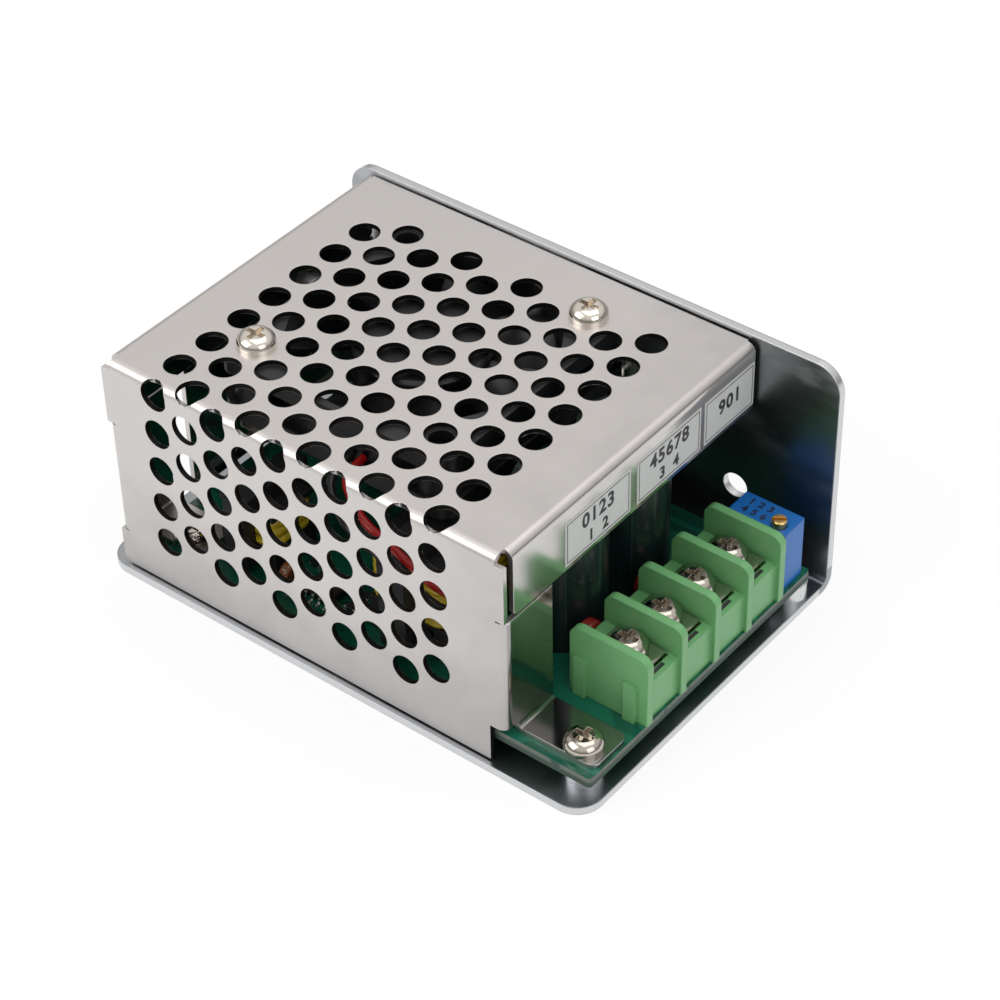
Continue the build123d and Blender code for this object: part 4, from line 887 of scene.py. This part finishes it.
class PatternTree:
    """A Geometry Nodes tree with named inputs that ends in Realize Instances and Set Material."""

    def __init__(self, name: str) -> None:
        """Starts a tree with a geometry input and output.

        Args:
            name: The tree's name.
        """
        self.tree = bpy.data.node_groups.new(name, "GeometryNodeTree")
        self.tree.interface.new_socket("Geometry", in_out="INPUT", socket_type="NodeSocketGeometry")
        self.tree.interface.new_socket("Geometry", in_out="OUTPUT", socket_type="NodeSocketGeometry")
        self.inputs = self.tree.nodes.new("NodeGroupInput")
        self.ends = self.tree.nodes.new("NodeGroupOutput")
        self.keys: dict[str, str] = {}

    def size(self, name: str, kind: str = "NodeSocketFloat") -> bpy.types.NodeSocket:
        """Adds a named input.

        Args:
            name: The input's name.
            kind: Its socket type.

        Returns:
            The socket that gives its value inside the tree.
        """
        made = self.tree.interface.new_socket(name, in_out="INPUT", socket_type=kind)
        self.keys[name] = made.identifier
        return self.inputs.outputs[name]

    def node(
        self,
        kind: str,
        settings: dict[str, Any] | None = None,
        sockets: dict[str | int, Any] | None = None,
    ) -> bpy.types.Node:
        """Adds any node, its settings first and then its sockets.

        Args:
            kind: The node's type.
            settings: Its properties.
            sockets: Values or output sockets by socket name or number.

        Returns:
            The node.
        """
        made = self.tree.nodes.new(kind)
        for key, value in (settings or {}).items():
            setattr(made, key, value)
        for key, value in (sockets or {}).items():
            if isinstance(value, bpy.types.NodeSocket):
                self.tree.links.new(value, made.inputs[key])
            else:
                made.inputs[key].default_value = value
        return made

    def finish(self, instances: bpy.types.NodeSocket, finish: Finish) -> None:
        """Ends the tree.

        Args:
            instances: The geometry to realize.
            finish: The finish of the result.
        """
        real = self.node("GeometryNodeRealizeInstances", None, {"Geometry": instances})
        dressed = self.node(
            "GeometryNodeSetMaterial",
            None,
            {"Geometry": real.outputs[0], "Material": finish.material},
        )
        self.tree.links.new(dressed.outputs[0], self.ends.inputs[0])

    def grow(self, name: str, seeds: Sequence[Point], **sizes: float) -> bpy.types.Object:
        """Runs the tree on points and keeps the result as a plain mesh.

        Args:
            name: The piece's name.
            seeds: Places in metres that the tree starts from.
            sizes: The named inputs, with _ for a space.

        Returns:
            The finished object at the origin.
        """
        data = bpy.data.meshes.new(f"{name}_seeds")
        data.from_pydata([tuple(seed) for seed in seeds], [], [])
        seed_object = bpy.data.objects.new(f"{name}_seeds", data)
        bpy.context.scene.collection.objects.link(seed_object)
        modifier = seed_object.modifiers.new("pattern", "NODES")
        modifier.node_group = self.tree
        for key, value in sizes.items():
            modifier[self.keys[key.replace("_", " ")]] = value
        graph = bpy.context.evaluated_depsgraph_get()
        graph.update()
        result = bpy.data.meshes.new_from_object(seed_object.evaluated_get(graph))
        result.name = name
        bpy.data.objects.remove(seed_object)
        made = bpy.data.objects.new(name, result)
        bpy.context.scene.collection.objects.link(made)
        return made


def coil_tree(name: str, finish: Finish) -> PatternTree:
    """Makes a tree that stacks rounded turns up Z over each seed, as a wound coil.

    Args:
        name: The tree's name.
        finish: The turns' finish.

    Returns:
        The tree, with the inputs width, depth, corner, wire radius, turns and pitch.
    """
    tree = PatternTree(name)
    width = tree.size("width")
    depth = tree.size("depth")
    corner = tree.size("corner")
    wire_radius = tree.size("wire radius")
    turns = tree.size("turns", "NodeSocketInt")
    pitch = tree.size("pitch")
    path = tree.node("GeometryNodeCurvePrimitiveQuadrilateral", None, {"Width": width, "Height": depth})
    rounded = tree.node(
        "GeometryNodeFilletCurve",
        {"mode": "POLY"},
        {"Curve": path.outputs[0], "Count": ARC_STEPS, "Radius": corner},
    )
    wire = tree.node(
        "GeometryNodeCurvePrimitiveCircle", None, {"Resolution": WIRE_SIDES, "Radius": wire_radius}
    )
    turn = tree.node(
        "GeometryNodeCurveToMesh",
        None,
        {"Curve": rounded.outputs[0], "Profile Curve": wire.outputs[0]},
    )
    smooth = tree.node("GeometryNodeSetShadeSmooth", None, {"Geometry": turn.outputs[0]})
    step = tree.node("ShaderNodeCombineXYZ", None, {"Z": pitch})
    line = tree.node(
        "GeometryNodeMeshLine", {"mode": "OFFSET"}, {"Count": turns, "Offset": step.outputs[0]}
    )
    stack = tree.node(
        "GeometryNodeInstanceOnPoints",
        None,
        {"Points": line.outputs[0], "Instance": smooth.outputs[0]},
    )
    placed = tree.node(
        "GeometryNodeInstanceOnPoints",
        None,
        {"Points": tree.inputs.outputs[0], "Instance": stack.outputs[0]},
    )
    tree.finish(placed.outputs[0], finish)
    return tree


def block_tree(name: str, finish: Finish) -> PatternTree:
    """Makes a tree that puts one block on each seed, as a small surface part.

    Args:
        name: The tree's name.
        finish: The blocks' finish.

    Returns:
        The tree, with the inputs length, width and height.
    """
    tree = PatternTree(name)
    length = tree.size("length")
    width = tree.size("width")
    height = tree.size("height")
    size = tree.node("ShaderNodeCombineXYZ", None, {"X": length, "Y": width, "Z": height})
    block = tree.node("GeometryNodeMeshCube", None, {"Size": size.outputs[0]})
    placed = tree.node(
        "GeometryNodeInstanceOnPoints",
        None,
        {"Points": tree.inputs.outputs[0], "Instance": block.outputs[0]},
    )
    tree.finish(placed.outputs[0], finish)
    return tree


def cone_tree(name: str, finish: Finish) -> PatternTree:
    """Makes a tree that stands one low cone on each seed, as a solder joint.

    Args:
        name: The tree's name.
        finish: The cones' finish.

    Returns:
        The tree, with the inputs foot radius, neck radius and height.
    """
    tree = PatternTree(name)
    foot = tree.size("foot radius")
    neck = tree.size("neck radius")
    height = tree.size("height")
    cone = tree.node(
        "GeometryNodeMeshCone",
        None,
        {"Vertices": CONE_SIDES, "Radius Bottom": foot, "Radius Top": neck, "Depth": height},
    )
    placed = tree.node(
        "GeometryNodeInstanceOnPoints",
        None,
        {"Points": tree.inputs.outputs[0], "Instance": cone.outputs[0]},
    )
    tree.finish(placed.outputs[0], finish)
    return tree


def number_print(
    name: str,
    text: str,
    height_mm: float,
    place: Matrix,
    finish: Finish,
    depth_mm: float,
    stroke_mm: float,
) -> bpy.types.Object:
    """Makes plain printed numbers as a thin mesh.

    Args:
        name: The piece's name.
        text: The numbers.
        height_mm: The size of the digits.
        place: Where the text's own plane goes, in metres.
        finish: The ink.
        depth_mm: How far the print stands up from its plane.
        stroke_mm: How much each stroke is thickened on either side.

    Returns:
        The object at the origin.
    """
    curve = bpy.data.curves.new(f"{name}_text", "FONT")
    curve.body = text
    curve.size = height_mm * MM
    curve.align_x = "CENTER"
    curve.align_y = "CENTER"
    curve.extrude = depth_mm * MM
    curve.offset = stroke_mm * MM
    curve.space_character = DIGIT_SPACING
    curve.resolution_u = DIGIT_STEPS
    letters = bpy.data.objects.new(f"{name}_text", curve)
    bpy.context.scene.collection.objects.link(letters)
    graph = bpy.context.evaluated_depsgraph_get()
    graph.update()
    data = bpy.data.meshes.new_from_object(letters.evaluated_get(graph))
    bpy.data.objects.remove(letters)
    data.name = name
    data.transform(place)
    data.materials.clear()
    data.materials.append(finish.material)
    made = bpy.data.objects.new(name, data)
    bpy.context.scene.collection.objects.link(made)
    return made


@dataclass
class CasePlate:
    """The bent plate that is the floor and the back wall, and what holds the board on it."""

    def build(self) -> None:
        """Dresses the plate and its standoffs."""
        dress(BrightPlate("case_plate"), "base_plate")
        dress(Metal.TURNED.value, "board_standoffs")


@dataclass
class EndLabels:
    """Three small labels in a row on the cover's end flange, with plain numbers."""

    face_x: float = 29.3
    low_z: float = 27.4
    high_z: float = 34.6
    film: float = 0.06
    line: float = 0.13
    line_inset: float = 0.35
    print_mm: float = 0.015
    stroke_mm: float = 0.10
    ink_color: Color = rgb(0.012, 0.012, 0.014)
    upper_size: float = 3.2
    lower_size: float = 2.5
    upper_lift: float = 1.35
    lower_drop: float = 1.75
    single_lift: float = 0.5
    stretches: tuple[tuple[float, float, str, str], ...] = (
        (-15.3, -1.3, "0123", "1  2"),
        (0.2, 14.5, "45678", "3  4"),
        (15.4, 27.0, "901", ""),
    )

    def _frame_line(self, shape: bmesh.types.BMesh, near: float, far: float) -> None:
        """Adds the four sides of one printed frame.

        Args:
            shape: The mesh that they go into.
            near: The label's near edge.
            far: The label's far edge.
        """
        low_z, high_z = self.low_z + self.line_inset, self.high_z - self.line_inset
        near, far = near + self.line_inset, far - self.line_inset
        back, front = self.face_x + self.film, self.face_x + self.film + self.print_mm
        add_box(shape, (back, near, low_z), (front, far, low_z + self.line))
        add_box(shape, (back, near, high_z - self.line), (front, far, high_z))
        add_box(shape, (back, near, low_z), (front, near + self.line, high_z))
        add_box(shape, (back, far - self.line, low_z), (front, far, high_z))

    def build(self) -> None:
        """Builds the films, their frames and their numbers."""
        paper = LabelPaper("label_film")
        ink = LabelPaper("label_ink", self.ink_color, True)
        for number, (near, far, upper, lower) in enumerate(self.stretches, start=1):
            film = bmesh.new()
            add_box(film, (self.face_x, near, self.low_z), (self.face_x + self.film, far, self.high_z))
            take_on(mesh_object(f"label_{number}", film, paper), ROOT)
            lines = bmesh.new()
            self._frame_line(lines, near, far)
            take_on(mesh_object(f"label_{number}_frame", lines, ink), ROOT)
            self._numbers(number, (near + far) / 2, upper, lower, ink)

    def _numbers(self, label: int, middle_y: float, upper: str, lower: str, ink: Finish) -> None:
        """Prints a label's one or two rows of plain numbers.

        Args:
            label: The label's number.
            middle_y: The middle of the label.
            upper: The numbers of the upper row.
            lower: The numbers of the lower row, or nothing.
            ink: The print's finish.
        """
        middle_z = (self.low_z + self.high_z) / 2
        rows = [(upper, self.upper_size, self.upper_lift if lower else self.single_lift)]
        if lower:
            rows.append((lower, self.lower_size, -self.lower_drop))
        turn = Matrix(((0, 0, 1, 0), (1, 0, 0, 0), (0, 1, 0, 0), (0, 0, 0, 1)))
        for row, (text, size, offset) in enumerate(rows, start=1):
            spot = Vector((self.face_x + self.film, middle_y, middle_z + offset)) * MM
            place = Matrix.Translation(spot) @ turn
            piece = number_print(
                f"label_{label}_row_{row}", text, size, place, ink, self.print_mm, self.stroke_mm
            )
            take_on(piece, ROOT)


@dataclass
class EndPanel:
    """The sheet that closes the cover's left end, below its short flange."""

    sheet: float = 0.8
    near: float = -13.8
    far: float = 27.2
    low: float = 4.9
    flange_low: float = 26.7
    corner: float = 1.0
    corner_steps: int = 6

    def _outline(self) -> list[tuple[float, float]]:
        """Lists the panel's outline in Y and Z, with both lower corners rounded."""
        quarter = math.pi / 2
        middle_z = self.low + self.corner
        points = [(self.near, self.flange_low)]
        near_corner = (self.near + self.corner, 2 * quarter)
        far_corner = (self.far - self.corner, 3 * quarter)
        for middle_y, start in (near_corner, far_corner):
            for step in range(self.corner_steps + 1):
                angle = start + step / self.corner_steps * quarter
                y = middle_y + self.corner * math.cos(angle)
                points.append((y, middle_z + self.corner * math.sin(angle)))
        points.append((self.far, self.flange_low))
        return points

    def build(self, finish: Finish) -> None:
        """Builds the panel flush with the flange above it.

        Args:
            finish: The cover's finish.
        """
        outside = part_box("cover")[0].x / MM
        shape = bmesh.new()
        rim_highlight = [shape.verts.new((outside * MM, y * MM, z * MM)) for y, z in self._outline()]
        face = shape.faces.new(rim_highlight)
        thick = bmesh.ops.extrude_face_region(shape, geom=[face])
        moved = [item for item in thick["geom"] if isinstance(item, bmesh.types.BMVert)]
        bmesh.ops.translate(shape, verts=moved, vec=(self.sheet * MM, 0.0, 0.0))
        take_on(mesh_object("cover_end_panel", shape, finish), ROOT)


@dataclass
class FoldedCover:
    """The perforated cover, its screws, its end panel and its labels."""

    panel: EndPanel = field(default_factory=EndPanel)
    labels: EndLabels = field(default_factory=EndLabels)

    def build(self) -> None:
        """Dresses the cover and builds its end panel and labels."""
        finish = SatinCover("cover_sheet")
        dress(finish, "cover")
        dress(Metal.NICKEL.value, "cover_screws", "device_screws", "fan_nuts")
        # The board screws take the nickel copy darkened with painted shade.
        dress(Metal.SHADED_NICKEL.value, "board_screws")
        self.panel.build(finish)
        self.labels.build()


@dataclass
class Board:
    """The circuit board with its solder joints and small parts."""

    underside: float = 4.4
    joint_height: float = 0.7
    joint_foot: float = 0.35
    joint_neck: float = 0.95
    foot_slack: float = 0.05
    pin_spread: float = 1.2
    red_coat: Color = rgb(0.20, 0.012, 0.008)
    brown_coat: Color = rgb(0.22, 0.07, 0.02)
    top: float = 6.0
    chip_length: float = 2.0
    chip_width: float = 1.25
    chip_height: float = 0.6
    chip_end: float = 0.4
    chips_at: tuple[tuple[float, float], ...] = (
        (-3.4, -17.6),
        (-3.4, -20.4),
        (-13.2, -16.4),
        (-31.0, -8.0),
        (-31.0, -5.0),
        (-31.0, -2.0),
        (-22.0, -4.0),
        (-18.0, -6.0),
        (-14.0, -8.0),
        (-1.5, 3.0),
        (-1.5, 6.0),
        (4.0, 1.0),
        (9.0, 2.0),
        (4.0, 12.0),
        (9.0, 15.0),
    )

    def _surface_parts(self) -> None:
        """Sets small chip parts on the board: a ceramic body between two tinned ends."""
        middle_z = self.top + self.chip_height / 2
        bodies = [(x * MM, y * MM, middle_z * MM) for x, y in self.chips_at]
        reach = (self.chip_length - self.chip_end) / 2
        ends = [
            ((x + side * reach) * MM, y * MM, middle_z * MM) for x, y in self.chips_at for side in (-1, 1)
        ]
        between = self.chip_length - 2 * self.chip_end
        for name, seeds, length, finish, slot in (
            ("chip_part_bodies", bodies, between, Plastic.CHIP.value, "chip_plastic"),
            ("chip_part_ends", ends, self.chip_end, Metal.TIN.value, "tinned_metal"),
        ):
            parts = block_tree(name, finish).grow(
                name, seeds, length=length * MM, width=self.chip_width * MM, height=self.chip_height * MM
            )
            take_on(parts, ROOT)

    def _pin_places(self) -> list[Point]:
        """Finds where pins and leads come through the board, from the frame's nodes.

        Returns:
            The foot of each solder joint, in metres.
        """
        seeds: list[Point] = []
        joint_foot_z = (self.underside - self.joint_height) * MM
        names = [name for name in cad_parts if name.endswith(("_pins", "_leads"))]
        names += ["terminal_contacts", "power_device_1_leadframe", "power_device_2_leadframe"]
        for name in sorted(set(names) - {"control_chip_pins"}):
            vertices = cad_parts[name].data.vertices
            lowest = min(vertex.co.z for vertex in vertices)
            feet = [vertex.co for vertex in vertices if vertex.co.z < lowest + self.foot_slack * MM]
            while feet:
                first = feet[0]
                pin = [foot for foot in feet if (foot - first).length < self.pin_spread * MM]
                feet = [foot for foot in feet if (foot - first).length >= self.pin_spread * MM]
                middle = sum(pin, Vector()) / len(pin)
                seeds.append((middle.x, middle.y, joint_foot_z))
        return seeds

    def build(self) -> None:
        """Dresses the board and its parts, and solders every pin."""
        dress(BoardMask("board_mask"), "circuit_board")
        dress(Plastic.CHIP.value, "control_chip", "power_device_1_case", "power_device_2_case")
        dress(
            Metal.TIN.value,
            "control_chip_pins",
            "power_device_1_leadframe",
            "power_device_2_leadframe",
            "main_inductor_pins",
            "filter_inductor_pins",
            "fan_socket_pins",
            "dipped_capacitor_leads",
        )
        dress(Plastic.PAD.value, "insulating_pads")
        dress(DippedCoat("dipped_red", self.red_coat), "dipped_capacitor_1", "dipped_capacitor_2")
        dress(DippedCoat("dipped_brown", self.brown_coat), "dipped_capacitor_3")
        joints = cone_tree("solder_joints", Metal.SOLDER.value).grow(
            "solder_joints",
            self._pin_places(),
            foot_radius=self.joint_foot * MM,
            neck_radius=self.joint_neck * MM,
            height=self.joint_height * MM,
        )
        take_on(joints, ROOT)
        self._surface_parts()


@dataclass
class TerminalEnd:
    """The terminal block and the trimmer at the open end."""

    mark_rows: tuple[tuple[str, float, float], ...] = (("1 2 3", 1.7, 1.0), ("4 5 6", 1.7, -0.9))
    mark_shift: float = -1.4
    mark_mm: float = 0.012
    mark_stroke: float = 0.07
    mark_color: Color = rgb(0.003, 0.009, 0.04)
    slot_from_front: float = 1.55
    slot_length: float = 0.6
    slot_half_width: float = 1.2
    shade_film: float = 0.02
    ledge_top: float = 12.5
    ways: int = 4
    clamp_width: float = 5.4

    def _trimmer_marks(self) -> None:
        """Prints plain numbers in dark ink on the trimmer's top."""
        low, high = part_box("trimmer_body")
        ink = LabelPaper("trimmer_ink", self.mark_color, True)
        for row, (text, size, offset) in enumerate(self.mark_rows, start=1):
            spot = Vector(
                (
                    (low.x + high.x) / 2 + self.mark_shift * MM,
                    (low.y + high.y) / 2 + offset * MM,
                    high.z,
                )
            )
            piece = number_print(
                f"trimmer_mark_{row}",
                text,
                size,
                Matrix.Translation(spot),
                ink,
                self.mark_mm,
                self.mark_stroke,
            )
            take_on(piece, ROOT)

    def _paint_slot_shade(self) -> None:
        """Paints the shade of the small wire slot in the ledge of each bay as a thin black film, in line
        with its clamp.
        """
        middle_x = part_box("terminal_housing")[1].x / MM - self.slot_from_front
        back, front = middle_x - self.slot_length / 2, middle_x + self.slot_length / 2
        low_y, high_y = (corner.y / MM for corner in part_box("terminal_clamps"))
        step = (high_y - low_y - self.clamp_width) / (self.ways - 1)
        shape = bmesh.new()
        for way in range(self.ways):
            middle_y = low_y + self.clamp_width / 2 + way * step
            near, far = middle_y - self.slot_half_width, middle_y + self.slot_half_width
            add_box(shape, (back, near, self.ledge_top), (front, far, self.ledge_top + self.shade_film))
        # Painted shade: a black film stands in for the shade in each open slot.
        take_on(mesh_object("wire_slot_shade", shape, Plastic.BOBBIN.value), ROOT)

    def build(self) -> None:
        """Dresses the block, its clamps and screws, and the trimmer."""
        self._trimmer_marks()
        self._paint_slot_shade()
        dress(Plastic.TERMINAL.value, "terminal_housing")
        dress(Metal.TIN.value, "terminal_contacts", "trimmer_pins")
        # The clamps and their screws take the nickel copy darkened with painted shade.
        dress(Metal.SHADED_NICKEL.value, "terminal_clamps", "terminal_screws")
        dress(Plastic.TRIMMER.value, "trimmer_body")
        dress(Metal.BRASS.value, "trimmer_screw")


@dataclass
class Fan:
    """The small fan that hangs under the cover, with its leads and plug."""

    def build(self) -> None:
        """Dresses the fan's pieces and its leads."""
        dress(Plastic.FAN.value, "fan_frame", "fan_rotor")
        dress(Metal.BRONZE.value, "fan_bearing")
        dress(Metal.STEEL.value, "fan_shaft", "fan_stator")
        dress(Plastic.MAGNET.value, "fan_magnet")
        dress(Plastic.RED_SKIN.value, "fan_lead_red")
        dress(Plastic.BLACK_SKIN.value, "fan_lead_black")
        dress(Plastic.SOCKET.value, "fan_socket", "fan_plug")


@dataclass
class Inductors:
    """The two wound inductors."""

    names: tuple[str, ...] = ("main_inductor", "filter_inductor")
    wire_radius: float = 0.75
    pitch: float = 1.25
    corner: float = 2.0

    def _turns(self, name: str, tree: PatternTree) -> None:
        """Winds the outer layer of taped turns round one winding.

        Args:
            name: The inductor's name.
            tree: The tree that stacks turns.
        """
        low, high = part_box(f"{name}_winding")
        room = (high.z - low.z) / MM - 2 * self.wire_radius
        turns = int(room / self.pitch) + 1
        seed = ((low.x + high.x) / 2, (low.y + high.y) / 2, low.z + self.wire_radius * MM)
        piece = tree.grow(
            f"{name}_turns",
            [seed],
            width=high.x - low.x,
            depth=high.y - low.y,
            corner=self.corner * MM,
            wire_radius=self.wire_radius * MM,
            turns=turns,
            pitch=room / (turns - 1) * MM,
        )
        take_on(piece, ROOT)

    def build(self) -> None:
        """Dresses the cores, bobbins and windings, and winds their outer turns."""
        tape = CoilTape("coil_tape")
        tree = coil_tree("taped_turns", tape)
        for name in self.names:
            dress(Ferrite("ferrite"), f"{name}_core_lower", f"{name}_core_upper")
            dress(Plastic.BOBBIN.value, f"{name}_bobbin")
            dress(tape, f"{name}_winding")
            self._turns(name, tree)


@dataclass
class Capacitors:
    """The electrolytic capacitors: can, sleeve and leads."""

    count: int = 4

    def build(self) -> None:
        """Dresses each can, sleeve and pair of leads."""
        for number in range(1, self.count + 1):
            low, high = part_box(f"capacitor_{number}_can")
            centre = ((low.x + high.x) / 2 / MM, (low.y + high.y) / 2 / MM)
            dress(Metal.CAN.value, f"capacitor_{number}_can")
            dress(Metal.TIN.value, f"capacitor_{number}_leads")
            sleeve = SleeveFilm(f"sleeve_film_{number}", centre=centre)
            dress(sleeve, f"capacitor_{number}_sleeve")


@dataclass(frozen=True)
class Softbox:
    """One square area light that points at the object: its place and side in metres, and power."""

    name: str
    place: Point
    side: float
    watts: float

    def build(self) -> None:
        """Adds the light to the scene."""
        data = bpy.data.lights.new(self.name, "AREA")
        data.shape = "SQUARE"
        data.size = self.side
        data.energy = self.watts
        light = bpy.data.objects.new(self.name, data)
        bpy.context.scene.collection.objects.link(light)
        turn = Vector(self.place).normalized().to_track_quat("Z", "Y").to_matrix().to_4x4()
        light.matrix_world = Matrix.Translation(self.place) @ turn


@dataclass
class Studio:
    """The floor, the soft lights and the camera at the photograph's angle."""

    azimuth: float = 38.85
    elevation: float = 40.2
    roll: float = -1.2
    distance: float = 413.5
    focal_pixels: float = 2918.0
    image_pixels: float = 1000.0
    sensor: float = 36.0
    shift_right: float = 4.85
    shift_up: float = 10.28
    nearest: float = 0.01
    floor_half: float = 4.0
    floor_color: Color = rgb(0.86, 0.86, 0.86)
    floor_glow: float = 0.86
    white: Color = rgb(1.0, 1.0, 1.0)
    sky: Color = rgb(1.0, 0.985, 0.965)
    side_sky: float = 0.22
    top_sky: float = 0.62
    sky_rise: Span = (0.05, 0.62)
    softboxes: tuple[Softbox, ...] = (
        Softbox("key_light", (-0.55, -0.75, 0.75), 0.9, 5.0),
        Softbox("top_light", (0.05, 0.15, 1.0), 0.9, 3.2),
        Softbox("end_light", (0.95, -0.25, 0.55), 0.7, 2.0),
    )

    def _camera(self) -> None:
        """Places the camera from its angles, distance and offsets."""
        azimuth, elevation, roll = (
            math.radians(angle) for angle in (self.azimuth, self.elevation, self.roll)
        )
        back = Vector(
            (
                math.sin(azimuth) * math.cos(elevation),
                -math.cos(azimuth) * math.cos(elevation),
                math.sin(elevation),
            )
        )
        level = Vector((math.cos(azimuth), math.sin(azimuth), 0.0))
        upright = back.cross(level)
        right = math.cos(roll) * level + math.sin(roll) * upright
        up = math.cos(roll) * upright - math.sin(roll) * level
        place = (self.shift_right * right + self.shift_up * up + self.distance * back) * MM
        data = bpy.data.cameras.new("camera")
        data.sensor_width = self.sensor
        data.lens = self.focal_pixels / self.image_pixels * self.sensor
        data.clip_start = self.nearest
        camera = bpy.data.objects.new("camera", data)
        bpy.context.scene.collection.objects.link(camera)
        axes = Matrix((right, up, back)).transposed().to_4x4()
        camera.matrix_world = Matrix.Translation(place) @ axes
        bpy.context.scene.camera = camera

    def _floor(self) -> None:
        """Builds the plain white floor, which keeps a soft shadow."""
        shader = Shader("floor")
        camera, glossy, through = (
            shader.node("ShaderNodeLightPath", None, None, f"Is {kind} Ray")
            for kind in ("Camera", "Glossy", "Transmission")
        )
        seen = camera.larger(glossy).larger(through)
        glow = shader.node("ShaderNodeEmission", None, {"Color": self.white, "Strength": 1.0})
        matte = shader.node("ShaderNodeBsdfDiffuse", None, {"Color": self.floor_color})
        mixed = shader.node("ShaderNodeMixShader", None, {0: seen * self.floor_glow, 1: matte, 2: glow})
        shader.node("ShaderNodeOutputMaterial", None, {"Surface": mixed})
        data = bpy.data.meshes.new("floor")
        half = self.floor_half
        corners = [(-half, -half, 0), (half, -half, 0), (half, half, 0), (-half, half, 0)]
        data.from_pydata(corners, [], [(0, 1, 2, 3)])
        data.materials.append(shader.material)
        floor = bpy.data.objects.new("floor", data)
        bpy.context.scene.collection.objects.link(floor)

    def _world(self) -> None:
        """Lights the object from all round, more from above than from the sides."""
        world = bpy.data.worlds.new("studio")
        world.use_nodes = True
        shader = Shader("studio", world.node_tree)
        camera, through = (
            shader.node("ShaderNodeLightPath", None, None, f"Is {kind} Ray")
            for kind in ("Camera", "Transmission")
        )
        seen = camera.larger(through)
        height = shader.node("ShaderNodeTexCoord", None, None, "Generated").part("Z")
        strength = self.side_sky + height.ramp(*self.sky_rise) * self.top_sky
        soft = shader.node("ShaderNodeBackground", None, {"Color": self.sky, "Strength": strength})
        white = shader.node("ShaderNodeBackground", None, {"Color": self.white})
        mixed = shader.node("ShaderNodeMixShader", None, {0: seen, 1: soft, 2: white})
        shader.node("ShaderNodeOutputWorld", None, {"Surface": mixed})
        bpy.context.scene.world = world

    def build(self) -> None:
        """Builds the floor, the lights and the camera."""
        self._camera()
        self._floor()
        self._world()
        for softbox in self.softboxes:
            softbox.build()
        view = bpy.context.scene.view_settings
        view.view_transform = "Standard"


def main() -> None:
    """Builds the studio and every sub-assembly in order."""
    logging.basicConfig(level=logging.INFO, format="%(name)s: %(message)s")
    for part in (
        Studio(),
        CasePlate(),
        FoldedCover(),
        Board(),
        TerminalEnd(),
        Fan(),
        Inductors(),
        Capacitors(),
    ):
        log.info("building %s", type(part).__name__)
        part.build()


if __name__ == "__main__":
    main()
